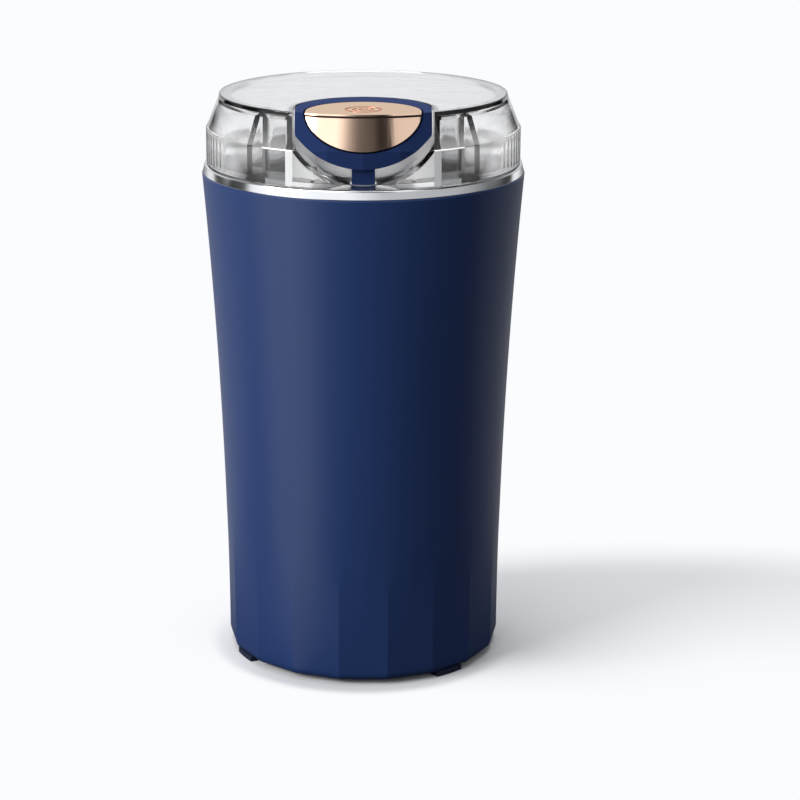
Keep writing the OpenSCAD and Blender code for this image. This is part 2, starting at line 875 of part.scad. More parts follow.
module foot_pads() {
    corner = 1.5;
    color(rubber)
        for (a = foot_angles)
            at_angle(a) {
                intersection() {
                    rod_z(foot_out_r, 0, foot_h);
                    union() {
                        box([-foot_w / 2 + corner, -foot_out_r - cut, 0],
                            [foot_w / 2 - corner, -foot_out_r + foot_l, foot_h]);
                        box([-foot_w / 2, -foot_out_r - cut, 0],
                            [foot_w / 2, -foot_out_r + foot_l - corner, foot_h]);
                        for (side = [-1, 1])
                            translate([side * (foot_w / 2 - corner),
                                -foot_out_r + foot_l - corner, 0])
                                rod_z(corner, 0, foot_h);
                    }
                }
                translate([0, -foot_stud_centre, 0])
                    rod_z(foot_stud_r, foot_h - eps, foot_h + foot_stud_h);
            }
}

module cord_grommet() {
    inner_y = cord_wall_y - run_gap;
    outer_y = cord_face_y + run_gap;
    color(rubber)
        translate([0, 0, cord_z])
            difference() {
                union() {
                    rod_y(grommet_r, inner_y - eps, outer_y + eps);
                    rod_y(grommet_flange_r, outer_y, outer_y + grommet_flange_t);
                    rod_y(grommet_flange_r, inner_y - grommet_flange_t, inner_y);
                }
                rod_y(cord_bore_r, 0, far);
            }
}

// ---- motor, fixed pieces ----

// The two uprights of a motor bracket
module uprights(z0, z1) {
    intersection() {
        ring(yoke_r, stator_r, z0, z1);
        box([-upright_w / 2, -far, z0 - cut], [upright_w / 2, far, z1 + cut]);
    }
}

module motor_screw_holes(z0, z1) {
    for (side = [-1, 1])
        translate([0, side * motor_screw_centre, 0])
            rod_z(motor_screw_r + run_gap, z0, z1);
}

module top_bracket() {
    z0 = high_bracket_z;
    hole_centre = 15.5;
    hole_r = 2.6;
    color(dull_steel)
        difference() {
            union() {
                rod_z(stator_r, z0, z0 + bracket_t);
                uprights(stack_top_z, z0 + eps);
                rod_z(housing_r, bearing_high_z - cup_lip, bearing_high_z + bearing_w);
            }
            rod_z(bearing_r + run_gap, bearing_high_z - cut, bearing_high_z + bearing_w + cut);
            motor_screw_holes(stack_top_z - cut, z0 + bracket_t + cut);
            for (i = [0:3])
                at_angle(45 + 90 * i)
                    translate([0, -mount_centre, 0])
                        rod_z(mount_screw_r + run_gap, z0 - cut, z0 + bracket_t + cut);
            for (i = [0:7])
                at_angle(22.5 + 45 * i)
                    translate([0, -hole_centre, 0])
                        rod_z(hole_r, z0 - cut, z0 + bracket_t + cut);
        }
}

module bottom_bracket() {
    z0 = low_bracket_z;
    hole_centre = 18.5;
    hole_r = 4.5;
    holder_half_w = brush_w / 2 + holder_t;
    color(dull_steel)
        difference() {
            union() {
                rod_z(stator_r, z0, z0 + bracket_t);
                uprights(z0 + bracket_t - eps, stator_z);
                rod_z(housing_r, bearing_low_z - cup_lip, bearing_low_z + bearing_w + cup_lip);
                // seats of the brush holders
                at_brushes()
                    box([holder_in_x + 2, -holder_half_w, z0],
                        [holder_out_x, holder_half_w, track_mid_z - brush_h / 2 - holder_t]);
            }
            rod_z(bearing_r + run_gap, bearing_low_z - cut, bearing_low_z + bearing_w + cut);
            motor_screw_holes(z0 - cut, stator_z + cut);
            for (i = [0:3])
                at_angle(45 + 90 * i)
                    translate([0, -hole_centre, 0])
                        rod_z(hole_r, z0 - cut, z0 + bracket_t + cut);
        }
}

// A ball bearing with a recessed shield on each face
module bearing(z0) {
    race_t = 1.8;
    inner_r = shaft_r + race_t;
    outer_r = bearing_r - race_t;
    shield = 0.5;
    color(bright_steel) {
        ring(shaft_r + run_gap / 2, inner_r, z0, z0 + bearing_w);
        ring(outer_r, bearing_r, z0, z0 + bearing_w);
        ring(inner_r - eps, outer_r + eps, z0 + shield, z0 + bearing_w - shield);
    }
}

module top_bearing() {
    bearing(bearing_high_z);
}

module bottom_bearing() {
    bearing(bearing_low_z);
}

module stator_core() {
    shoe_angle = 50;
    color(dull_steel)
        difference() {
            translate([0, 0, stator_z])
                linear_extrude(stack_h) {
                    difference() {
                        circle(r = stator_r, $fn = fine);
                        circle(r = yoke_r, $fn = fine);
                    }
                    for (turn = [0, 180])
                        rotate(turn) {
                            difference() {
                                intersection() {
                                    circle(r = yoke_r + cut, $fn = fine);
                                    translate([0, -pole_half_w])
                                        square([far, 2 * pole_half_w]);
                                }
                                circle(r = stator_bore_r, $fn = fine);
                            }
                            intersection() {
                                difference() {
                                    circle(r = shoe_r, $fn = fine);
                                    circle(r = stator_bore_r, $fn = fine);
                                }
                                polygon([
                                    [0, 0],
                                    [far * cos(shoe_angle), -far * sin(shoe_angle)],
                                    [far * cos(shoe_angle), far * sin(shoe_angle)]
                                ]);
                            }
                        }
                }
            motor_screw_holes(stator_z - cut, stack_top_z + cut);
        }
}

module field_coils() {
    coil_angle = 46;
    trim = 0.5;
    color(copper)
        for (turn = [0, 180])
            rotate([0, 0, turn])
                difference() {
                    rotate([0, 0, -coil_angle])
                        rotate_extrude(angle = 2 * coil_angle, $fn = fine)
                            translate([shoe_r + seat_gap, stator_z - end_turn_h + trim])
                                square([yoke_r - shoe_r - 2 * seat_gap,
                                    stack_h + 2 * (end_turn_h - trim)]);
                    box([shoe_r - 2 * cut, -pole_half_w - seat_gap, stator_z - seat_gap],
                        [yoke_r + cut, pole_half_w + seat_gap, stack_top_z + seat_gap]);
                }
}

module motor_screws() {
    color(bright_steel)
        for (side = [-1, 1])
            translate([0, side * motor_screw_centre, low_bracket_z])
                screw_up(motor_screw_r, high_bracket_z + bracket_t / 2 - low_bracket_z,
                    motor_screw_r + head_w, pan_head_h);
}

// Places its children at both brushes, their x axis pointing outwards
module at_brushes() {
    for (turn = [0, 180])
        rotate([0, 0, turn])
            children();
}

module brush_holders() {
    half_w = brush_w / 2 + slide_gap;
    low_z = track_mid_z - brush_h / 2 - slide_gap;
    high_z = track_mid_z + brush_h / 2 + slide_gap;
    wall = holder_t - slide_gap;
    color(brass)
        at_brushes()
            difference() {
                box([holder_in_x, -half_w - wall, low_z - wall],
                    [holder_out_x, half_w + wall, high_z + wall]);
                box([holder_in_x - cut, -half_w, low_z], [holder_out_x - holder_end, half_w, high_z]);
            }
}

module carbon_brushes() {
    color(black_plastic)
        at_brushes()
            difference() {
                box([commutator_r - cut, -brush_w / 2, track_mid_z - brush_h / 2],
                    [commutator_r + brush_l, brush_w / 2, track_mid_z + brush_h / 2]);
                rod_z(commutator_r + run_gap, track_mid_z - brush_h, track_mid_z + brush_h);
            }
}

module brush_springs() {
    x0 = commutator_r + brush_l + run_gap;
    color(dull_steel)
        at_brushes()
            translate([x0, 0, track_mid_z])
                rotate([0, 90, 0])
                    coil(brush_spring_r, 0.25, holder_out_x - holder_end - run_gap - x0, 5);
}

module capacitor() {
    color(amber)
        at_angle(capacitor_angle)
            box([-capacitor_half_l, -capacitor_in_r - capacitor_t, cover_top_z],
                [capacitor_half_l, -capacitor_in_r, cover_top_z + capacitor_h]);
}

module thermal_fuse() {
    fuse_r = 1.7;
    fuse_h = 12;
    color(white_rubber)
        at_angle(225)
            translate([0, -stator_r - fuse_r - seat_gap, 0])
                rod_z(fuse_r, stator_z + (stack_h - fuse_h) / 2, stator_z + (stack_h + fuse_h) / 2);
}

module lead_wires() {
    color(red_plastic) {
        lead(lead_right);
        lead(lead_left);
    }
}

// ---- motor, turning pieces ----

module motor_shaft() {
    tip = 0.6;
    color(bright_steel) {
        rod_z(shaft_r, shaft_foot_z, shaft_top_z - tip);
        translate([0, 0, shaft_top_z - tip])
            cylinder(r1 = shaft_r, r2 = shaft_r - tip, h = tip, $fn = fine);
    }
}

module armature_core() {
    color(dull_steel)
        translate([0, 0, stator_z])
            linear_extrude(stack_h)
                difference() {
                    circle(r = armature_r, $fn = fine);
                    circle(r = shaft_r + run_gap / 2, $fn = fine);
                    for (i = [0:slot_count - 1])
                        rotate(i * 360 / slot_count) {
                            translate([slot_centre, 0])
                                circle(r = slot_r, $fn = 32);
                            translate([slot_centre, -slot_mouth_w / 2])
                                square([armature_r, slot_mouth_w]);
                        }
                }
}

module armature_windings() {
    in_r = shaft_r + 2;
    out_r = slot_centre + slot_r;
    soft = 1.6;
    color(copper) {
        for (i = [0:slot_count - 1])
            rotate([0, 0, i * 360 / slot_count])
                translate([slot_centre, 0, 0])
                    rod_z(slot_r - slide_gap, stator_z - cut, stack_top_z + cut);
        for (half = [[stator_z, -1], [stack_top_z, 1]])
            rotate_extrude($fn = fine)
                polygon([
                    [in_r, half[0]],
                    [in_r, half[0] + half[1] * (end_turn_h - soft)],
                    [in_r + soft, half[0] + half[1] * end_turn_h],
                    [out_r - soft, half[0] + half[1] * end_turn_h],
                    [out_r, half[0] + half[1] * (end_turn_h - soft)],
                    [out_r, half[0]]
                ]);
    }
}

module commutator() {
    riser_w = 1;
    slit_w = 0.4;
    track_top_z = commutator_z + commutator_h;
    color(copper)
        difference() {
            union() {
                rod_z(commutator_r, commutator_z, track_top_z);
                rod_z(commutator_r + riser_w, track_top_z - eps, track_top_z + riser_h);
            }
            rod_z(shaft_r + run_gap / 2, commutator_z - cut, track_top_z + riser_h + cut);
            for (i = [0:slot_count - 1])
                rotate([0, 0, (i + 0.5) * 360 / slot_count])
                    box([commutator_r - riser_w, -slit_w / 2, commutator_z - cut],
                        [commutator_r + 2 * riser_w, slit_w / 2, track_top_z + riser_h + cut]);
        }
}

module cooling_fan() {
    hub = shaft_r + 3;
    vane_lean = 20;
    vane_t = 1.2;
    color(black_plastic) {
        ring(shaft_r + run_gap / 2, hub, fan_z, fan_z + fan_h);
        ring(hub - eps, fan_r, fan_z, fan_z + vane_t);
        intersection() {
            ring(hub - vane_t, fan_r, fan_z, fan_z + fan_h - vane_t);
            for (i = [0:vane_count - 1])
                rotate([0, 0, i * 360 / vane_count])
                    translate([hub - vane_t, 0, fan_z + vane_t / 2])
                        rotate([0, 0, vane_lean])
                            box([0, -vane_t / 2, 0], [fan_r, vane_t / 2, fan_h]);
        }
    }
}

module thrust_washers() {
    low_z = bearing_low_z + bearing_w;
    high_z = fan_z + fan_h;
    out_r = shaft_r + 1.8;
    color(brass) {
        ring(shaft_r + run_gap, out_r, low_z + slide_gap, commutator_z);
        ring(shaft_r + run_gap, out_r, high_z, bearing_high_z - slide_gap);
    }
}

module blade_hub() {
    color(bright_steel) {
        ring(shaft_r + run_gap / 2, hub_r, hub_z, blade_z);
        ring(hub_r - eps, hub_r + hub_collar_w, blade_z - hub_collar_h, blade_z);
    }
}

// One wing of the blade, pointing to -Y, bent by an angle where it leaves the flat
module wing(bend) {
    tip_w = wing_w * 0.62;
    rise = (blade_r - bend_r) * tan(bend);
    fold = blade_t * tan(bend / 2);
    intersection() {
        rotate([90, 0, -90])
            translate([0, 0, -wing_w])
                linear_extrude(2 * wing_w)
                    polygon([
                        [shaft_r + 2, 0],
                        [bend_r, 0],
                        [blade_r, rise],
                        [blade_r, rise + blade_t / cos(bend)],
                        [bend_r - fold, blade_t],
                        [shaft_r + 2, blade_t]
                    ]);
        translate([0, 0, -far])
            linear_extrude(2 * far)
                polygon([
                    [-wing_w / 2, -shaft_r - 1],
                    [-wing_w / 2, -blade_r + wing_w * 0.325],
                    [0, -blade_r + wing_w * 0.05],
                    [tip_w / 2, -blade_r + wing_w * 0.125],
                    [wing_w / 2, -bend_r],
                    [wing_w / 2, -shaft_r - 1]
                ]);
    }
}

module blade() {
    color(bright_steel)
        translate([0, 0, blade_z])
            difference() {
                union() {
                    rod_z(hub_r + hub_collar_w, 0, blade_t);
                    for (turn = [30, 210])
                        at_angle(turn)
                            wing(bend_up);
                    for (turn = [120, 300])
                        at_angle(turn)
                            wing(-bend_down);
                }
                rod_z(shaft_r + run_gap / 2, -cut, blade_t + cut);
            }
}

module blade_washer() {
    color(bright_steel)
        ring(shaft_r + run_gap / 2, washer_r, blade_z + blade_t, nut_z);
}

module blade_nut() {
    dome_r = nut_w / 2 * cos(30) - 0.4;
    top_z = nut_z + nut_h;
    dome_ball = sag_r(dome_r, nut_dome_h);
    color(bright_steel)
        difference() {
            union() {
                translate([0, 0, nut_z])
                    cylinder(r = nut_w / 2, h = nut_h, $fn = 6);
                intersection() {
                    translate([0, 0, top_z + nut_dome_h - dome_ball])
                        sphere(r = dome_ball, $fn = fine);
                    rod_z(far, top_z - eps, top_z + nut_dome_h + cut);
                }
            }
            rod_z(shaft_r + run_gap / 2, nut_z - cut, shaft_top_z + run_gap);
        }
}

// ---- safety switch ----

module push_rod() {
    color(white_rubber) {
        translate([0, -rod_centre, 0]) {
            rod_z(rod_r, nose_z + heel_h / 2, rod_top_z - rod_head_h / 2);
            rod_z(collar_r, collar_z, collar_z + collar_h);
        }
        box([-rod_head_w / 2, -rod_head_front, rod_top_z - rod_head_h],
            [rod_head_w / 2, -rod_head_back, rod_top_z]);
        // inner wall of the head, which stays below the bowl's flange
        box([-rod_head_w / 2, -rod_head_back - eps, rod_top_z - rod_head_h],
            [rod_head_w / 2, -rod_centre + rod_r, deck_z - 2 * seat_gap]);
        box([-rod_r, -heel_out_y, nose_z],
            [nose_x + nose_r, -switch_mid_y + lever_w / 2, nose_z + heel_h]);
        translate([nose_x, 0, nose_z])
            rod_y(nose_r, -heel_out_y + seat_gap, -switch_mid_y + lever_w / 2);
    }
}

module push_rod_spring() {
    color(dull_steel)
        translate([0, -rod_centre, guide_top_z + run_gap])
            coil(rod_coil_r, 0.2, collar_z - guide_top_z - 2 * run_gap, 9);
}

module switch_body() {
    color(black_plastic)
        difference() {
            union() {
                box([-switch_l / 2, -switch_y - switch_t, switch_z],
                    [switch_l / 2, -switch_y, switch_top_z]);
                // two ears that hold the lever's pin
                for (y = [-switch_y - switch_t, -switch_y - ear_t]) {
                    translate([-pin_x, 0, pin_z])
                        rod_y(ear_r, y, y + ear_t);
                    box([-pin_x - ear_r, y, switch_top_z - eps], [-pin_x + ear_r, y + ear_t, pin_z]);
                }
            }
            translate([-pin_x, 0, pin_z])
                rod_y(pin_r + run_gap, -far, 0);
            box([-plunger_x - plunger_w / 2 - slide_gap, -switch_mid_y - plunger_l / 2 - slide_gap,
                    lever_bottom_z - plunger_h - 2 * cut],
                [-plunger_x + plunger_w / 2 + slide_gap, -switch_mid_y + plunger_l / 2 + slide_gap,
                    switch_top_z + cut]);
            for (side = [-1, 1])
                translate([side * switch_screw_x, 0, switch_screw_z]) {
                    rod_y(switch_screw_r + run_gap, -far, 0);
                    rod_y(switch_screw_head_r + seat_gap, -far, -switch_y - switch_t + switch_screw_head_h);
                }
        }
}

module switch_terminals() {
    color(brass)
        for (side = [-1, 0, 1])
            translate([side * terminal_x, -switch_mid_y, 0])
                box([-1.6, -0.3, switch_z - terminal_l], [1.6, 0.3, switch_z]);
}

module switch_screws() {
    head_y = -switch_y - switch_t + switch_screw_head_h;
    color(dull_steel)
        for (side = [-1, 1])
            translate([side * switch_screw_x, 0, switch_screw_z]) {
                rod_y(switch_screw_r, head_y - eps, -switch_y + tab_t);
                rod_y(switch_screw_head_r, head_y - switch_screw_head_h, head_y);
            }
}

module switch_lever() {
    color(bright_steel) {
        difference() {
            union() {
                translate([-pin_x, 0, pin_z])
                    rod_y(eye_r, -switch_mid_y - lever_w / 2, -switch_mid_y + lever_w / 2);
                box([-pin_x, -switch_mid_y - lever_w / 2, lever_bottom_z],
                    [nose_x + 2 * nose_r, -switch_mid_y + lever_w / 2, lever_top_z]);
            }
            translate([-pin_x, 0, pin_z])
                rod_y(pin_r + run_gap, -far, 0);
        }
    }
}

module lever_pin() {
    color(dull_steel)
        translate([-pin_x, 0, pin_z])
            rod_y(pin_r, -switch_y - switch_t, -switch_y);
}

module switch_plunger() {
    top_z = lever_bottom_z - run_gap;
    color(red_plastic)
        box([-plunger_x - plunger_w / 2, -switch_mid_y - plunger_l / 2, top_z - plunger_h],
            [-plunger_x + plunger_w / 2, -switch_mid_y + plunger_l / 2, top_z]);
}

// ---- lid ----

// The lid's outer form from z0 to z1, set in by inset
module lid_form(inset, z0, z1) {
    rotate_extrude($fn = fine)
        polygon([
            [0, z0],
            [lid_r - inset, z0],
            [lid_r - inset, shoulder_z],
            [lid_side_r(z1) - inset, z1],
            [0, z1]
        ]);
}

// Plan of the button: straight sides to the front and a round back
module tongue(half_w, centre, z0, z1) {
    translate([0, -centre, 0])
        rod_z(half_w, z0, z1);
    box([-half_w, -far, z0], [half_w, -centre, z1]);
}

// Front view of the button: a wide arc through the bottom and both corners
module trough(half_w, bottom_z, corner_z) {
    r = sag_r(half_w, corner_z - bottom_z);
    translate([0, 0, bottom_z + r])
        rod_y(r, -far, far);
}

module pocket_room() {
    intersection() {
        tongue(pocket_half_w, button_centre, web_z, total_h + cut);
        trough(pocket_half_w, pocket_bottom_z, pocket_corner_z);
    }
}

// Slot in the lid for the button's stem
module stem_slot() {
    box([-stem_w / 2 - 2 * seat_gap, -stem_front - seat_gap, lid_z - cut],
        [stem_w / 2 + 2 * seat_gap, -stem_back + 2 * seat_gap, pocket_bottom_z + 3]);
}

module lid_ribs() {
    for (side = [-1, 1]) {
        // slanting ribs, side walls, props of the pocket and ribs beside the stem
        at_angle(side * rib_angle)
            box([-rib_t / 2, -lid_r, web_z], [rib_t / 2, -rib_back, disc_z]);
        translate([side * side_wall_x, 0, 0])
            box([-rib_t / 2, -lid_r, web_z], [rib_t / 2, -side_wall_back, disc_z]);
        translate([side * (pocket_half_w + pocket_wall / 2), 0, 0])
            box([-pocket_wall / 2, -lid_r, web_z], [pocket_wall / 2, -prop_back, frame_corner_z]);
        translate([side * bottom_rib_x, 0, 0])
            box([-bottom_rib_t / 2, -lid_r, web_z], [bottom_rib_t / 2, -rib_back, web_z + bottom_rib_h]);
    }
}

module lid_cover() {
    color(clear_plastic)
        difference() {
            union() {
                rotate_extrude($fn = fine)
                    polygon([
                        [lid_r, lid_z],
                        [lid_r, shoulder_z],
                        [lid_side_r(disc_z), disc_z],
                        [lid_top_r - lid_rim_w, disc_z],
                        [lid_top_r - lid_rim_w, disc_z - rim_t],
                        [lid_side_r(disc_z - rim_t) - lid_wall, disc_z - rim_t],
                        [lid_r - lid_wall, shoulder_z],
                        [lid_r - lid_wall, web_top_z],
                        [skirt_in_r, web_top_z],
                        [skirt_in_r, web_z],
                        [lid_r - lid_wall, web_z],
                        [lid_r - lid_wall, lid_z]
                    ]);
                intersection() {
                    lid_form(lid_wall / 2, web_z, disc_z);
                    union() {
                        intersection() {
                            tongue(pocket_half_w + pocket_wall, button_centre, web_z, disc_z);
                            trough(pocket_half_w + pocket_wall, pocket_bottom_z - pocket_wall,
                                pocket_corner_z);
                        }
                        lid_ribs();
                    }
                }
                // peg that centres the button's spring
                translate([0, -spring_centre, 0])
                    rod_z(spring_peg_r, pocket_bottom_z - pocket_wall / 2,
                        pocket_bottom_z + spring_peg_h);
            }
            difference() {
                pocket_room();
                translate([0, -spring_centre, 0])
                    rod_z(spring_peg_r, pocket_bottom_z - cut, pocket_bottom_z + spring_peg_h);
            }
            stem_slot();
        }
}

module lid_top() {
    color(clear_plastic)
        difference() {
            translate([0, 0, disc_z])
                cylinder(r1 = lid_side_r(disc_z), r2 = lid_top_r, h = lid_top_t, $fn = fine);
            tongue(pocket_half_w, button_centre, disc_z - cut, total_h + cut);
        }
}

module lid_skirt() {
    color(clear_plastic)
        difference() {
            ring(skirt_in_r, skirt_r, skirt_z, web_z);
            ring(skirt_r - seal_band_depth, skirt_r + cut, seal_band_z, seal_band_z + seal_band_h);
        }
}

module lid_seal() {
    color(white_rubber)
        ring(skirt_r - seal_band_depth + run_gap, skirt_r + seal_band_proud,
            seal_band_z + run_gap, seal_band_z + seal_band_h - run_gap);
}

// ---- button ----

// Front view of the plate: half an ellipse hanging from the top
module plate_front(half_w, drop) {
    steps = 36;
    translate([0, far, 0])
        rotate([90, 0, 0])
            linear_extrude(2 * far)
                polygon(concat(
                    [[half_w, total_h + cut], [-half_w, total_h + cut]],
                    [
                        for (i = [0:steps])
                            let (a = 180 + 180 * i / steps)
                            [half_w * cos(a), total_h + drop * sin(a)]
                    ]
                ));
}

module plate_room(gap) {
    intersection() {
        tongue(plate_half_w + gap, plate_centre, frame_bottom_z, total_h + cut);
        plate_front(plate_half_w + gap, plate_drop + gap);
    }
}

module button_frame() {
    color(navy) {
        difference() {
            intersection() {
                tongue(button_half_w, button_centre, frame_bottom_z, total_h);
                trough(button_half_w, frame_bottom_z, frame_corner_z);
                lid_form(button_setback, frame_bottom_z - cut, total_h);
            }
            plate_room(slide_gap);
            // hollow behind the plate's room, open below
            intersection() {
                tongue(button_half_w - frame_wall, button_centre, 0, total_h - frame_wall);
                box([-far, -plate_centre + plate_half_w + frame_wall, 0], [far, far, total_h]);
            }
            translate([0, -spring_centre, 0])
                rod_z(spring_seat_r, 0, spring_seat_z);
        }
        box([-stem_w / 2, -stem_front, stem_foot_z], [stem_w / 2, -stem_back, frame_bottom_z + cut]);
    }
}

module button_plate() {
    color(rose_gold)
        difference() {
            intersection() {
                plate_room(0);
                lid_form(button_setback, frame_bottom_z, total_h);
            }
            intersection() {
                tongue(plate_half_w - plate_t, plate_centre, 0, total_h - plate_t);
                lid_form(button_setback + plate_t, 0, total_h);
            }
        }
}

module button_spring() {
    color(dull_steel)
        translate([0, -spring_centre, spring_foot_z])
            coil(2.5, 0.3, spring_seat_z - run_gap - spring_foot_z, 5);
}

body_shell();
trim_ring();
top_deck();
bowl_gasket();
grinding_bowl();
shaft_seal();
motor_carrier();
carrier_screws();
mount_screws();
isolators();
base_cover();
base_screws();
foot_pads();
cord_grommet();
top_bracket();
bottom_bracket();
top_bearing();
bottom_bearing();
stator_core();
field_coils();
motor_screws();
brush_holders();
carbon_brushes();
brush_springs();
capacitor();
thermal_fuse();
lead_wires();
motor_shaft();
armature_core();
armature_windings();
commutator();
cooling_fan();
thrust_washers();
blade_hub();
blade();
blade_washer();
blade_nut();
push_rod();
push_rod_spring();
switch_body();
switch_terminals();
switch_screws();
switch_lever();
lever_pin();
switch_plunger();
lid_cover();
lid_top();
lid_skirt();
lid_seal();
button_frame();
button_plate();
button_spring();
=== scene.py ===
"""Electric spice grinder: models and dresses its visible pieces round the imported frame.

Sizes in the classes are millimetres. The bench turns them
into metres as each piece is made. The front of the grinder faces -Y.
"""

import json
import logging
import math
from collections.abc import Callable
from dataclasses import dataclass
from enum import Enum

import bpy
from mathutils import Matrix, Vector


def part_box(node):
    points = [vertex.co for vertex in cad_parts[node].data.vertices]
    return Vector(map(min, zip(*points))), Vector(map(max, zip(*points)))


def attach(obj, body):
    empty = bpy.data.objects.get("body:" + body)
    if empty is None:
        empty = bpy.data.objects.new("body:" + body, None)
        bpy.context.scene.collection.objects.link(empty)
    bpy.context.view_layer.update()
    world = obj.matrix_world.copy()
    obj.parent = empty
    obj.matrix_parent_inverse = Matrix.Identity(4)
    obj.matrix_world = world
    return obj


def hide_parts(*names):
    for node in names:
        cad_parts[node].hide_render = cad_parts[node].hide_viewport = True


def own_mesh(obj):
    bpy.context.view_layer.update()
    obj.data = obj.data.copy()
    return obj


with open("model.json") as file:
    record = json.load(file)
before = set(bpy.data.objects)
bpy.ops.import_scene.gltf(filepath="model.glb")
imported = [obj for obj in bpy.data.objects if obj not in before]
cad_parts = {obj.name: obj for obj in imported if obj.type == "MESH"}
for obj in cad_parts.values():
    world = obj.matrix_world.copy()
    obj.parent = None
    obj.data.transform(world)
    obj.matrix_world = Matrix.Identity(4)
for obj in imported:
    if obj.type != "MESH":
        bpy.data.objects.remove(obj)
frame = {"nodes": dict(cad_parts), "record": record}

LOG = logging.getLogger("grinder")
MM = 0.001
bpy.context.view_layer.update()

Point2 = tuple[float, float]
Point3 = tuple[float, float, float]
Colour = tuple[float, float, float]
Piece = bpy.types.Object
Face = bpy.types.MeshPolygon
Node = bpy.types.Node
Socket = bpy.types.NodeSocket
Tree = bpy.types.NodeTree


class Cut(Enum):
    """How one solid acts on another."""

    JOIN = "UNION"
    REMOVE = "DIFFERENCE"
    KEEP = "INTERSECT"


class Body(Enum):
    """Bodies of the frame that the pieces ride on."""

    HOUSING = "housing"
    LID = "lid"
    BUTTON = "button"


# ---------------------------------------------------------------- modelling bench


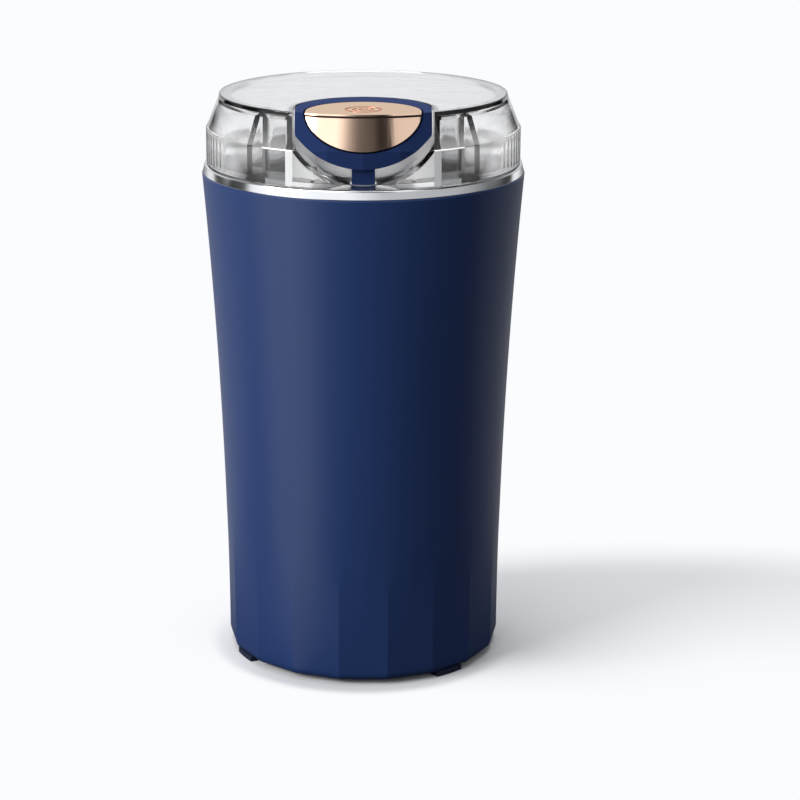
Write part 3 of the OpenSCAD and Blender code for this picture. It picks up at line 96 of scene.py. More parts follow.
class Bench:
    """Modelling steps done by hand, one object at a time, with sizes in millimetres."""

    MERGE_M = 1e-7

    @staticmethod
    def clear() -> None:
        """Leaves edit mode and selects nothing."""
        if bpy.context.object and bpy.context.object.mode != "OBJECT":
            bpy.ops.object.mode_set(mode="OBJECT")
        bpy.ops.object.select_all(action="DESELECT")

    @staticmethod
    def pick(piece: Piece) -> None:
        """Makes a piece the only selected and active one.

        Args:
            piece: the piece.
        """
        Bench.clear()
        piece.select_set(True)
        bpy.context.view_layer.objects.active = piece

    @staticmethod
    def settle() -> Piece:
        """Puts the active piece's place, turn and size into its mesh, and returns it."""
        bpy.ops.object.transform_apply(location=True, rotation=True, scale=True)
        return bpy.context.object

    @staticmethod
    def name(piece: Piece, name: str) -> Piece:
        """Names a piece and its mesh, and returns the piece."""
        piece.name = piece.data.name = name
        return piece

    @staticmethod
    def merge() -> None:
        """Merges the doubles of the mesh being edited and selects all that is left."""
        bpy.ops.mesh.remove_doubles(threshold=Bench.MERGE_M)
        bpy.ops.mesh.select_all(action="SELECT")

    @staticmethod
    def trace(points: list[Point3]) -> Piece:
        """Draws a chain of edges by extruding one point from place to place.

        Args:
            points: the chain's corners.

        Returns:
            The object, left in edit mode with everything selected.
        """
        Bench.clear()
        bpy.ops.mesh.primitive_plane_add(size=MM, location=(0, 0, 0))
        bpy.ops.object.mode_set(mode="EDIT")
        bpy.ops.mesh.merge(type="CENTER")
        bpy.ops.transform.translate(value=Vector(points[0]) * MM)
        for here, there in zip(points, points[1:]):
            step = (Vector(there) - Vector(here)) * MM
            bpy.ops.mesh.extrude_vertices_move(TRANSFORM_OT_translate={"value": step})
        bpy.ops.mesh.select_all(action="SELECT")
        return bpy.context.object

    @staticmethod
    def seal(name: str, piece: Piece) -> Piece:
        """Closes a mesh being edited: merges doubles and turns the faces outwards.

        Args:
            name: the piece's name.
            piece: the piece, in edit mode.

        Returns:
            The piece, in object mode.
        """
        bpy.ops.mesh.select_all(action="SELECT")
        Bench.merge()
        bpy.ops.mesh.normals_make_consistent(inside=False)
        bpy.ops.object.mode_set(mode="OBJECT")
        return Bench.name(piece, name)

    @staticmethod
    def lathe(name: str, outline: list[Point2], steps: int = 192) -> Piece:
        """Spins an outline of radius and height round the upright axis.

        Args:
            name: the piece's name.
            outline: its corners, first corner not repeated. One that starts and ends on
                the axis makes a solid core.
            steps: how many steps the spin takes.

        Returns:
            The closed, round piece.
        """
        solid_core = outline[0][0] == 0 and outline[-1][0] == 0
        chain = outline if solid_core else outline + outline[:1]
        piece = Bench.trace([(r, 0.0, z) for r, z in chain])
        Bench.merge()
        bpy.ops.mesh.spin(steps=steps, angle=2 * math.pi, center=(0, 0, 0), axis=(0, 0, 1))
        return Bench.seal(name, piece)

    @staticmethod
    def slab(name: str, outline: list[Point3], travel: Point3) -> Piece:
        """Fills a flat outline and extrudes it.

        Args:
            name: the piece's name.
            outline: its corners, first corner not repeated.
            travel: how far the face is extruded.

        Returns:
            The closed slab.
        """
        piece = Bench.trace(outline + outline[:1])
        Bench.merge()
        bpy.ops.mesh.edge_face_add()
        bpy.ops.mesh.extrude_region_move(TRANSFORM_OT_translate={"value": Vector(travel) * MM})
        return Bench.seal(name, piece)

    @staticmethod
    def wire(name: str, points: list[Point3], radius: float) -> Piece:
        """Draws a round wire along a chain of points.

        Args:
            name: the piece's name.
            points: places along the wire's middle.
            radius: the wire's radius.

        Returns:
            The closed wire.
        """
        Bench.trace(points)
        bpy.ops.object.mode_set(mode="OBJECT")
        bpy.ops.object.convert(target="CURVE")
        curve = bpy.context.object.data
        curve.dimensions = "3D"
        curve.fill_mode = "FULL"
        curve.bevel_depth = radius * MM
        curve.bevel_resolution = 3
        curve.use_fill_caps = True
        bpy.ops.object.convert(target="MESH")
        bpy.ops.object.mode_set(mode="EDIT")
        return Bench.seal(name, bpy.context.object)

    @staticmethod
    def block(low: Point3, high: Point3) -> Piece:
        """Adds a block.

        Args:
            low: its lowest corner.
            high: its highest corner.

        Returns:
            The block.
        """
        Bench.clear()
        bpy.ops.mesh.primitive_cube_add(size=1, location=(Vector(low) + Vector(high)) / 2 * MM)
        bpy.context.object.scale = (Vector(high) - Vector(low)) * MM
        return Bench.settle()

    @staticmethod
    def roller(radius: float, height: float, length: float) -> Piece:
        """Adds a cylinder that lies from front to back.

        Args:
            radius: its radius.
            height: the height of its axis.
            length: its length.

        Returns:
            The cylinder.
        """
        Bench.clear()
        bpy.ops.mesh.primitive_cylinder_add(
            vertices=256,
            radius=radius * MM,
            depth=length * MM,
            location=Vector((0, 0, height)) * MM,
            rotation=(math.radians(90), 0, 0),
        )
        return Bench.settle()

    @staticmethod
    def move(piece: Piece, y: float = 0.0, turned: float = 0.0) -> Piece:
        """Moves a piece along Y and turns it round the upright axis, in its mesh.

        Args:
            piece: the piece.
            y: how far it moves.
            turned: its turn in degrees.

        Returns:
            The piece.
        """
        Bench.pick(piece)
        piece.location.y = y * MM
        piece.rotation_euler.z = math.radians(turned)
        return Bench.settle()

    @staticmethod
    def change(piece: Piece, kind: str, **settings: object) -> Piece:
        """Adds a modifier and applies it.

        Args:
            piece: the piece to change.
            kind: the modifier's type.
            settings: its settings by name.

        Returns:
            The piece.
        """
        Bench.pick(piece)
        step = piece.modifiers.new("step", kind)
        for key, value in settings.items():
            setattr(step, key, value)
        bpy.ops.object.modifier_apply(modifier=step.name)
        return piece

    @staticmethod
    def cut(piece: Piece, tool: Piece, way: Cut) -> Piece:
        """Joins, removes or keeps what a tool covers, and uses the tool up.

        Args:
            piece: the piece to work on.
            tool: the solid that acts on it.
            way: how it acts.

        Returns:
            The piece.
        """
        Bench.change(piece, "BOOLEAN", operation=way.value, solver="MANIFOLD", object=tool)
        bpy.data.objects.remove(tool, do_unlink=True)
        return piece

    @staticmethod
    def soften(piece: Piece, width: float, segments: int, angle: float = 40) -> None:
        """Rounds every edge sharper than an angle.

        Args:
            piece: the piece to soften.
            width: the rounding's width.
            segments: how many facets it has.
            angle: the angle in degrees.
        """
        limit = {"limit_method": "ANGLE", "angle_limit": math.radians(angle)}
        Bench.change(piece, "BEVEL", width=width * MM, segments=segments, **limit)

    @staticmethod
    def smooth(piece: Piece, angle: float) -> Piece:
        """Shades a piece smooth, save for sharp edges, and keeps broad faces flat.

        Args:
            piece: the piece to shade.
            angle: edges sharper than this, in degrees, stay sharp.

        Returns:
            The piece.
        """
        Bench.pick(piece)
        bpy.ops.object.shade_smooth_by_angle(angle=math.radians(angle))
        return Bench.change(piece, "WEIGHTED_NORMAL", keep_sharp=True)


def arc(centre: Point2, radius: float, start: float, end: float, steps: int) -> list[Point2]:
    """Points on an arc from one angle to another, in degrees, both ends included."""
    turns = [math.radians(start + (end - start) * i / steps) for i in range(steps + 1)]
    return [(centre[0] + radius * math.cos(t), centre[1] + radius * math.sin(t)) for t in turns]


# ---------------------------------------------------------------- node trees


class Sheet:
    """A node tree being laid out: adds nodes and feeds their inputs."""

    def __init__(self, tree: Tree) -> None:
        """Starts on a node tree."""
        self.tree = tree

    @classmethod
    def on(cls, owner: bpy.types.Material | bpy.types.World) -> "Sheet":
        """Starts on a material or a world.

        Args:
            owner: what holds the tree, which is emptied.

        Returns:
            The sheet.
        """
        owner.use_nodes = True
        owner.node_tree.nodes.clear()
        return cls(owner.node_tree)

    def feed(self, into: Socket, value: object) -> None:
        """Feeds an input.

        Args:
            into: the input.
            value: a socket to link, a value to set, or None to leave the input alone.
        """
        if isinstance(value, bpy.types.NodeSocket):
            self.tree.links.new(value, into)
        elif value is not None:
            into.default_value = value

    def fill(self, node: Node, values: dict[str, object]) -> None:
        """Feeds inputs of a node by their names."""
        for label, value in values.items():
            self.feed(node.inputs[label], value)

    def add(self, kind: str, *given: object, **values: object) -> Node:
        """Adds a node.

        Args:
            kind: the node's type.
            given: what its first inputs take, in order.
            values: attributes of the node. A name that starts with in_ is an input's,
                with spaces as underscores.

        Returns:
            The node.
        """
        node = self.tree.nodes.new(kind)
        for key, value in values.items():
            if key.startswith("in_"):
                self.feed(node.inputs[key[3:].replace("_", " ")], value)
            else:
                setattr(node, key, value)
        for into, value in zip(node.inputs, given):
            self.feed(into, value)
        return node

    def math(self, operation: str, *given: object) -> Socket:
        """Returns the result of a sum of sockets or values."""
        return self.add("ShaderNodeMath", *given, operation=operation).outputs[0]

    def length(self, vector: Socket) -> Socket:
        """Returns a vector's length."""
        return self.add("ShaderNodeVectorMath", vector, operation="LENGTH").outputs["Value"]

    def parts(self, vector: Socket) -> list[Socket]:
        """Returns a vector's X, Y and Z."""
        return list(self.add("ShaderNodeSeparateXYZ", vector).outputs)

    def noise(self, place: Socket, scale: object, **values: object) -> Socket:
        """Returns a noise's value, its settings named as for add."""
        return self.add("ShaderNodeTexNoise", in_Vector=place, in_Scale=scale, **values).outputs["Fac"]

    def ramp(self, value: Socket, start: object, end: object, low: float = 0.0, high: float = 1.0) -> Socket:
        """Returns a straight ramp from a low to a high value, as another goes from start to end."""
        return self.add("ShaderNodeMapRange", value, start, end, low, high).outputs[0]

    def ease(self, value: Socket, start: object, end: object, low: float = 0.0, high: float = 1.0) -> Socket:
        """Returns a ramp with soft ends."""
        kind = {"interpolation_type": "SMOOTHSTEP"}
        return self.add("ShaderNodeMapRange", value, start, end, low, high, **kind).outputs[0]

    def mix(self, mask: Socket, first: object, second: object, kind: str = "RGBA") -> Socket:
        """Returns two colours, or with kind FLOAT two values, mixed by a mask."""
        node = self.add("ShaderNodeMix", data_type=kind, in_Factor=mask, in_A=first, in_B=second)
        return next(socket for socket in node.outputs if socket.enabled)


class Effect(Enum):
    """Surface effects that several finishes share, each one node group."""

    GRAIN = "fine grain"
    SMUDGE = "uneven gloss"
    TURNED = "turned lines"
    FLUTES = "upright flutes"
    RISE = "rise with height"
    GLOW = "band of painted glow"


class Effects:
    """Builds each shared effect once and places it where it is used. Heights are metres."""

    _made: dict[Effect, Tree] = {}

    @classmethod
    def place(cls, sheet: Sheet, effect: Effect, point: Socket, **values: float) -> dict[str, Socket]:
        """Places an effect.

        Args:
            sheet: where it goes.
            effect: which effect, built on its first use.
            point: the point on the surface.
            values: its inputs that are set.

        Returns:
            Its outputs by name.
        """
        if effect not in cls._made:
            cls._made[effect] = getattr(cls, "_" + effect.name.lower())()
        node = sheet.add("ShaderNodeGroup", node_tree=cls._made[effect])
        sheet.fill(node, {"Vector": point, **values})
        return {socket.name: socket for socket in node.outputs}

    @staticmethod
    def _open(effect: Effect, **inputs: float) -> tuple[Sheet, bpy.types.bpy_prop_collection]:
        """Starts an effect's group.

        Args:
            effect: the effect.
            inputs: its value inputs, each with what it is unless set.

        Returns:
            The group's sheet, and what comes into it by name.
        """
        tree = bpy.data.node_groups.new(effect.value, "ShaderNodeTree")
        tree.interface.new_socket("Vector", in_out="INPUT", socket_type="NodeSocketVector")
        for label, value in inputs.items():
            socket = tree.interface.new_socket(label, in_out="INPUT", socket_type="NodeSocketFloat")
            socket.default_value = value
        sheet = Sheet(tree)
        return sheet, sheet.add("NodeGroupInput").outputs

    @staticmethod
    def _close(sheet: Sheet, **outputs: Socket) -> Tree:
        """Ends an effect's group.

        Args:
            sheet: the group's sheet.
            outputs: what it gives out, by name.

        Returns:
            The group.
        """
        for label in outputs:
            sheet.tree.interface.new_socket(label, in_out="OUTPUT", socket_type="NodeSocketFloat")
        sheet.fill(sheet.add("NodeGroupOutput"), outputs)
        return sheet.tree

    @staticmethod
    def _grain() -> Tree:
        """Fine moulded or sprayed grain: a height and a slow tint.

        Returns:
            The group.
        """
        sheet, given = Effects._open(Effect.GRAIN, Scale=900.0)
        fine = sheet.noise(given["Vector"], given["Scale"], in_Detail=2.0, in_Roughness=0.6)
        slow = sheet.noise(given["Vector"], 24.0, in_Detail=3.0)
        return Effects._close(sheet, Height=fine, Tint=slow)

    @staticmethod
    def _smudge() -> Tree:
        """Uneven gloss, as handling leaves it: a roughness round a middle value.

        Returns:
            The group.
        """
        sheet, given = Effects._open(Effect.SMUDGE, Scale=30.0, Middle=0.3, Spread=0.05)
        noise = sheet.noise(given["Vector"], given["Scale"], in_Detail=4.0, in_Roughness=0.55)
        spread = sheet.math("MULTIPLY", sheet.math("SUBTRACT", noise, 0.5), given["Spread"])
        total = sheet.add("ShaderNodeMath", spread, given["Middle"], operation="ADD", use_clamp=True)
        return Effects._close(sheet, Roughness=total.outputs[0])

    @staticmethod
    def _turned() -> Tree:
        """Fine lines left by turning, as a height: rings round the upright axis.

        Returns:
            The group.
        """
        sheet, given = Effects._open(Effect.TURNED, Lines=900.0)
        x, y, z = sheet.parts(given["Vector"])
        reach = sheet.length(sheet.add("ShaderNodeCombineXYZ", x, y).outputs[0])
        row = sheet.add("ShaderNodeCombineXYZ", sheet.math("ADD", reach, z)).outputs[0]
        detail = {"noise_dimensions": "2D", "in_Detail": 4.0, "in_Roughness": 0.7}
        return Effects._close(sheet, Height=sheet.noise(row, given["Lines"], **detail))

    @staticmethod
    def _flutes() -> Tree:
        """Upright flutes round the two flanks, between a lower and an upper height.

        Returns:
            The group.
        """
        sheet, given = Effects._open(Effect.FLUTES, Count=110.0, Low=0.1446, High=0.1528, Flank=0.0375)
        x, y, z = sheet.parts(given["Vector"])
        wave = sheet.math("SINE", sheet.math("MULTIPLY", sheet.math("ARCTAN2", y, x), given["Count"]))
        flank = sheet.math("GREATER_THAN", sheet.math("ABSOLUTE", x), given["Flank"])
        above = sheet.math("GREATER_THAN", z, given["Low"])
        below = sheet.math("LESS_THAN", z, given["High"])
        place = sheet.math("MULTIPLY", sheet.math("MULTIPLY", above, below), flank)
        return Effects._close(sheet, Height=sheet.math("MULTIPLY", place, wave))

    @staticmethod
    def _rise() -> Tree:
        """A mask for painted shade that rises from 0 to 1 between two heights, and towards the two flanks.

        Returns:
            The group.
        """
        sheet, given = Effects._open(Effect.RISE, Low=0.0, High=1.0, Near=0.031, Far=0.038)
        x, _, z = sheet.parts(given["Vector"])
        rise = sheet.ramp(z, given["Low"], given["High"])
        spread = sheet.ease(sheet.math("ABSOLUTE", x), given["Near"], given["Far"])
        return Effects._close(sheet, Mask=sheet.math("MAXIMUM", rise, spread))

    @staticmethod
    def _glow() -> Tree:
        """A band of painted glow by height, which fades out above, below and towards the back.

        Returns:
            The group.
        """
        ends = {"Foot": 0.1, "Full": 0.2, "Fall": 0.3, "Gone": 0.4, "Middle": -0.004, "Front": -0.024}
        sheet, given = Effects._open(Effect.GLOW, **ends)
        _, y, z = sheet.parts(given["Vector"])
        rise = sheet.ramp(z, given["Foot"], given["Full"])
        fall = sheet.ramp(z, given["Gone"], given["Fall"])
        front = sheet.ease(y, given["Middle"], given["Front"])
        return Effects._close(sheet, Mask=sheet.math("MULTIPLY", sheet.math("MULTIPLY", rise, fall), front))


# ---------------------------------------------------------------- finishes


MADE: dict[str, bpy.types.Material] = {}


@dataclass(frozen=True)
class Finish:
    """What every finish has: two close tones, an uneven gloss and a fine relief.

    The roughness varies by its spread, at the smudges' scale. The relief has a scale and a
    depth in millimetres.
    """

    name: str
    low: Colour
    high: Colour
    roughness: float
    spread: float
    scale: float
    depth: float
    smudges: float = 30.0

    def material(self) -> bpy.types.Material:
        """Builds the finish's material on its first use.

        Returns:
            The material.
        """
        if self.name not in MADE:
            made = MADE[self.name] = bpy.data.materials.new(self.name)
            sheet = Sheet.on(made)
            shader = sheet.add("ShaderNodeBsdfPrincipled")
            sheet.fill(shader, self.inputs(sheet, sheet.add("ShaderNodeTexCoord").outputs["Object"]))
            sheet.add("ShaderNodeOutputMaterial", shader.outputs[0], self.inside(sheet))
        return MADE[self.name]

    def inputs(self, sheet: Sheet, point: Socket) -> dict[str, object]:
        """Lays out what feeds the shader.

        Args:
            sheet: the material's sheet.
            point: the point on the surface.

        Returns:
            The shader's inputs by name.
        """
        mask, height = self.relief(sheet, point)
        gloss = {"Middle": self.roughness, "Spread": self.spread, "Scale": self.smudges}
        bump = sheet.add("ShaderNodeBump", in_Strength=1.0, in_Distance=self.depth * MM, in_Height=height)
        return {
            "Base Color": sheet.mix(mask, (*self.low, 1), (*self.high, 1)),
            "Roughness": Effects.place(sheet, Effect.SMUDGE, point, **gloss)["Roughness"],
            "Normal": bump.outputs[0],
        }

    def relief(self, sheet: Sheet, point: Socket) -> tuple[Socket, Socket]:
        """Returns what mixes the two tones, and the relief's height."""
        raise NotImplementedError

    def inside(self, sheet: Sheet) -> Socket | None:
        """Returns what fills the body under the surface, if anything does."""
        return None


@dataclass(frozen=True)
class Moulded(Finish):
    """Painted or moulded plastic and rubber, with a fine grain and, where set, a glow that is painted light.
    """

    coat: float = 0.0
    specular: float = 0.5
    glow: float = 0.0

    def relief(self, sheet: Sheet, point: Socket) -> tuple[Socket, Socket]:
        """Returns the grain's slow tint and its height."""
        grain = Effects.place(sheet, Effect.GRAIN, point, Scale=self.scale)
        return grain["Tint"], grain["Height"]

    def inputs(self, sheet: Sheet, point: Socket) -> dict[str, object]:
        """Adds the coat, the shine and the painted glow to what every finish has.

        Args:
            sheet: the material's sheet.
            point: the point on the surface.

        Returns:
            The shader's inputs by name.
        """
        shine = {"Coat Weight": self.coat, "Coat Roughness": 0.2, "Specular IOR Level": self.specular}
        glow = {"Emission Color": (0.95, 0.96, 0.96, 1), "Emission Strength": self.glow}
        return super().inputs(sheet, point) | shine | glow


@dataclass(frozen=True)
class Metal(Finish):
    """Metal with lines left by turning, drawing or grinding."""

    edge: Colour = (1.0, 1.0, 1.0)

    def relief(self, sheet: Sheet, point: Socket) -> tuple[Socket, Socket]:
        """Returns the turned lines, as both."""
        lines = Effects.place(sheet, Effect.TURNED, point, Lines=self.scale)
        return lines["Height"], lines["Height"]

    def inputs(self, sheet: Sheet, point: Socket) -> dict[str, object]:
        """Adds the metal and its tone seen edge-on to what every finish has."""
        return super().inputs(sheet, point) | {"Metallic": 1.0, "Specular Tint": (*self.edge, 1)}


@dataclass(frozen=True)
class Clear(Finish):
    """Clear plastic with a faint ripple. It can have flutes, and a band of weak glow, which is painted light.

    Only a piece with one finish all over has a density. On a mixed piece, light that goes in
    through one finish and out through another would stay dimmed.
    """

    roughness: float = 0.10
    spread: float = 0.02
    scale: float = 120.0
    depth: float = 0.02
    smudges: float = 60.0
    density: float = 0.0
    flutes: float = 0.0
    gloss: float = 1.0
    glow: float = 0.0
    band: tuple[float, float, float, float] = (144.5, 149.5, 152.5, 158.0)

    def relief(self, sheet: Sheet, point: Socket) -> tuple[Socket, Socket]:
        """Lays out the ripple and the flutes.

        Args:
            sheet: the material's sheet.
            point: the point on the surface.

        Returns:
            What mixes the two tones, and the relief's height.
        """
        ripple = Effects.place(sheet, Effect.GRAIN, point, Scale=self.scale)
        flutes = sheet.math("MULTIPLY", Effects.place(sheet, Effect.FLUTES, point)["Height"], self.flutes)
        return self.mask(sheet, point, ripple), sheet.math("ADD", flutes, ripple["Height"])

    def mask(self, sheet: Sheet, point: Socket, ripple: dict[str, Socket]) -> Socket:
        """Returns what mixes the two tones: the ripple's slow tint."""
        return ripple["Tint"]

    def inputs(self, sheet: Sheet, point: Socket) -> dict[str, object]:
        """Adds the clearness, the shine and the painted glow to what every finish has.

        Args:
            sheet: the material's sheet.
            point: the point on the surface.

        Returns:
            The shader's inputs by name.
        """
        clear = {"Transmission Weight": 1.0, "IOR": 1.5, "Specular Tint": (*grey(self.gloss), 1)}
        given = super().inputs(sheet, point) | clear
        if self.glow:
            heights = {label: z * MM for label, z in zip(("Foot", "Full", "Fall", "Gone"), self.band)}
            given["Emission Color"] = Effects.place(sheet, Effect.GLOW, point, **heights)["Mask"]
            given["Emission Strength"] = self.glow
        return given

    def inside(self, sheet: Sheet) -> Socket | None:
        """Returns a plain absorption where the plastic has a density."""
        tone = {"in_Color": (0, 0, 0, 1), "in_Density": self.density}
        return sheet.add("ShaderNodeVolumeAbsorption", **tone).outputs[0] if self.density else None


@dataclass(frozen=True)
class Graded(Clear):
    """Clear plastic with painted shade: its tint grows darker downwards between two heights in millimetres.
    """

    foot: float = 145.0
    head: float = 153.5

    def mask(self, sheet: Sheet, point: Socket, ripple: dict[str, Socket]) -> Socket:
        """Returns what mixes the two tones: the height on the wall."""
        return Effects.place(sheet, Effect.RISE, point, Low=self.foot * MM, High=self.head * MM)["Mask"]


def grey(level: float) -> Colour:
    """Returns a neutral tone."""
    return (level, level, level)


# Outside
SATIN_NAVY = Moulded(
    "navy_satin_paint",
    (0.0175, 0.0415, 0.143),
    (0.0195, 0.0455, 0.155),
    0.32,
    0.03,
    1400.0,
    0.002,
    specular=0.38,
)
BUTTON_NAVY = Moulded(
    "navy_button_plastic", (0.018, 0.036, 0.118), (0.02, 0.039, 0.128), 0.5, 0.03, 1200, 0.002, specular=0.015
)
RING_METAL = Metal("bright_ring_metal", (0.80, 0.81, 0.82), (0.88, 0.89, 0.90), 0.12, 0.04, 1600.0, 0.0005)
ROSE_GOLD = Metal(
    "rose_gold_plating", (0.84, 0.58, 0.43), (0.9, 0.64, 0.48), 0.12, 0.04, 1200, 0.0005, edge=(1, 0.88, 0.74)
)
ENGRAVED = Metal("engraved_copper", (0.70, 0.17, 0.05), (0.80, 0.24, 0.09), 0.34, 0.05, 1200.0, 0.001)
# Painted shade: the groove along the plate's top edge is coloured dark brown for the shade inside it.
GROOVE_SHADE = Moulded("painted_groove_shade", (0.030, 0.014, 0.008), (0.045, 0.022, 0.013), 0.6, 0.05, 900.0, 0.005)
# The clear lid, with painted shade and painted glow on parts of its wall
CLEAR = Clear("clear_lid_plastic", grey(0.965), grey(0.985), 0.03, density=30.0)
COVER_CLEAR = Clear("fluted_lid_plastic", grey(0.975), grey(0.99), flutes=1.6, gloss=0.5)
# Painted light: the shoulder beyond the ribs glows in a band of height.
SHOULDER_GLOW_CLEAR = Clear(
    "shoulder_painted_glow_plastic", grey(0.975), grey(0.99), gloss=0.5, glow=0.25, band=(144, 149, 154.5, 158)
)
# Painted shade: the end faces of the ribs and props are tinted nearly black for the dark bands seen through
# them, with a faint painted glow.
RIB_SHADE_CLEAR = Clear(
    "painted_shade_ribs_plastic", (0.06, 0.06, 0.062), (0.09, 0.09, 0.092), glow=0.01, band=(141, 142, 160, 164)
)
# Painted shade: the slope's strip beside the pocket is tinted nearly black for a dark line, with a faint
# painted glow.
EDGE_SHADE_CLEAR = Clear(
    "painted_shade_edges_plastic",
    (0.04, 0.04, 0.042),
    (0.06, 0.06, 0.062),
    gloss=0.08,
    glow=0.04,
    band=(141, 142, 162, 164),
)
# Painted shade and painted light: the slightly matt slope between pocket and ribs is tinted grey and glows in
# a band.
MATT_SHADED_GLOW_CLEAR = Clear(
    "matt_plastic_painted_shade_and_glow",
    (0.46, 0.46, 0.465),
    (0.52, 0.52, 0.525),
    0.15,
    gloss=0.15,
    glow=0.26,
    band=(141, 142, 154, 158),
)
# Painted shade: the lid's lower front wall is tinted dark towards its foot, between pocket and ribs (inner)
# and beyond the ribs (outer), for the dark view through it; both also carry a little painted glow.
INNER_SHADE = Graded(
    "shaded_lid_plastic", (0.12, 0.124, 0.126), (0.20, 0.203, 0.206), glow=0.02, band=(140, 141, 152, 156)
)
OUTER_SHADE = Graded(
    "painted_shade_lid_wall", grey(0.004), grey(0.97), flutes=1.6, gloss=0.5, glow=0.14, foot=145.4, head=160.0
)
# White frosted plastic with painted light: its glow brightens the box under the pocket, and on the front's
# crease it makes a painted highlight line.
FROSTED_PAINTED_GLOW = Moulded("frosted_plastic_painted_glow", grey(0.86), grey(0.94), 0.35, 0.1, 300.0, 0.05, glow=0.5)
# Grey frosted plastic with painted glow, on the strips beside the box, which widen its bright look.
FROSTED_EDGE_PAINTED_GLOW = Moulded(
    "frosted_edge_painted_glow", (0.60, 0.60, 0.605), (0.68, 0.68, 0.685), 0.35, 0.1, 300.0, 0.05, glow=0.22
)
# Bowl, blade and shaft
BOWL_STEEL = Metal("drawn_bowl_steel", (0.68, 0.685, 0.69), (0.78, 0.785, 0.79), 0.34, 0.06, 1400.0, 0.002)
GROUND_STEEL = Metal("ground_shaft_steel", (0.55, 0.56, 0.58), (0.66, 0.67, 0.69), 0.22, 0.08, 2200.0, 0.002)
SHEET_STEEL = Metal("zinced_sheet_steel", (0.46, 0.47, 0.48), (0.58, 0.59, 0.60), 0.38, 0.10, 500.0, 0.003)
SPRING_WIRE = Metal("spring_wire_steel", (0.36, 0.37, 0.39), (0.50, 0.51, 0.53), 0.34, 0.08, 2400.0, 0.002)
LAMINATION = Metal("stacked_laminations", (0.16, 0.16, 0.17), (0.30, 0.30, 0.31), 0.48, 0.10, 2400.0, 0.02)
WOUND_COPPER = Metal("wound_copper_wire", (0.42, 0.16, 0.07), (0.66, 0.28, 0.13), 0.36, 0.10, 1100.0, 0.06)
BRASS = Metal("turned_brass", (0.56, 0.38, 0.15), (0.68, 0.48, 0.20), 0.30, 0.10, 900.0, 0.002)
# Plastic and rubber inside
DECK = Moulded("deck_black_plastic", (0.010, 0.010, 0.011), (0.017, 0.017, 0.018), 0.38, 0.08, 1000.0, 0.006)
BLACK = Moulded("inner_black_plastic", (0.014, 0.014, 0.015), (0.022, 0.022, 0.023), 0.52, 0.10, 700.0, 0.02)
RUBBER = Moulded("soft_rubber", (0.008, 0.013, 0.040), (0.011, 0.018, 0.052), 0.68, 0.10, 1500.0, 0.02)
SILICONE = Moulded("seal_silicone", (0.62, 0.62, 0.60), (0.74, 0.74, 0.72), 0.48, 0.08, 900.0, 0.01)
WHITE = Moulded("inner_white_plastic", (0.66, 0.66, 0.63), (0.76, 0.76, 0.73), 0.42, 0.08, 800.0, 0.01)
CARBON = Moulded("pressed_carbon", (0.010, 0.010, 0.011), (0.030, 0.030, 0.032), 0.60, 0.14, 2400.0, 0.02)
AMBER = Moulded("amber_case", (0.56, 0.30, 0.02), (0.66, 0.38, 0.03), 0.24, 0.06, 700.0, 0.006)
SLEEVE = Moulded("woven_sleeve", (0.55, 0.54, 0.50), (0.78, 0.77, 0.74), 0.70, 0.10, 2600.0, 0.08)
RED = Moulded("switch_red_plastic", (0.34, 0.012, 0.010), (0.44, 0.020, 0.015), 0.34, 0.08, 900.0, 0.006)

FINISH_OF_SLOT: dict[str, Finish] = {
    "navy_body": SATIN_NAVY,
    "navy_button": BUTTON_NAVY,
    "polished_ring": RING_METAL,
    "bowl_steel": BOWL_STEEL,
    "clear_plastic": CLEAR,
    "rose_gold": ROSE_GOLD,
    "black_plastic": BLACK,
    "rubber": RUBBER,
    "silicone": SILICONE,
    "white_plastic": WHITE,
    "sheet_steel": SHEET_STEEL,
    "spring_steel": SPRING_WIRE,
    "bearing_steel": GROUND_STEEL,
    "lamination_steel": LAMINATION,
    "copper": WOUND_COPPER,
    "brass": BRASS,
    "carbon": CARBON,
    "capacitor_film": AMBER,
    "fuse_sleeve": SLEEVE,
    "red_plastic": RED,
}


class CoverZone(Enum):
    """Stretches of the lid's wall, each with its finish; all but the plain one paint shade or glow onto it.
    """

    PLAIN = COVER_CLEAR
    BOX = FROSTED_PAINTED_GLOW
    RIB = RIB_SHADE_CLEAR
    INNER = INNER_SHADE
    OUTER = OUTER_SHADE
    MATT = MATT_SHADED_GLOW_CLEAR
    EDGE = EDGE_SHADE_CLEAR
    SHOULDER = SHOULDER_GLOW_CLEAR
    BOX_EDGE = FROSTED_EDGE_PAINTED_GLOW


class PlateZone(Enum):
    """Stretches of the button's plate, each with its finish."""

    PLAIN = ROSE_GOLD
    ORNAMENT = ENGRAVED
    # the groove's faces get the painted shade
    GROOVE = GROOVE_SHADE


def dress(piece: Piece, finish: Finish) -> Piece:
    """Gives a piece one finish all over.

    Args:
        piece: the piece.
        finish: its finish.

    Returns:
        The piece.
    """
    piece.data.materials.clear()
    piece.data.materials.append(finish.material())
    return piece


def paint(piece: Piece, zones: type[Enum], choose: Callable[[Face], Enum]) -> Piece:
    """Gives each face of a piece the finish of its zone.

    Args:
        piece: the piece.
        zones: its zones, each one's value a finish.
        choose: says which zone a face is in.

    Returns:
        The piece.
    """
    order = list(zones)
    piece.data.materials.clear()
    for zone in order:
        piece.data.materials.append(zone.value.material())
    for face in piece.data.polygons:
        face.material_index = order.index(choose(face))
    return piece


def mount(piece: Piece, body: Body, replaced: str) -> None:
    """Puts a finished piece on a body of the frame and reports it.

    Args:
        piece: the finished piece.
        body: the body that carries it.
        replaced: the CAD node that it stands for.
    """
    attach(piece, body.value)
    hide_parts(replaced)
    LOG.info("%s: %d faces, on %s", piece.name, len(piece.data.polygons), body.value)


# ---------------------------------------------------------------- housing


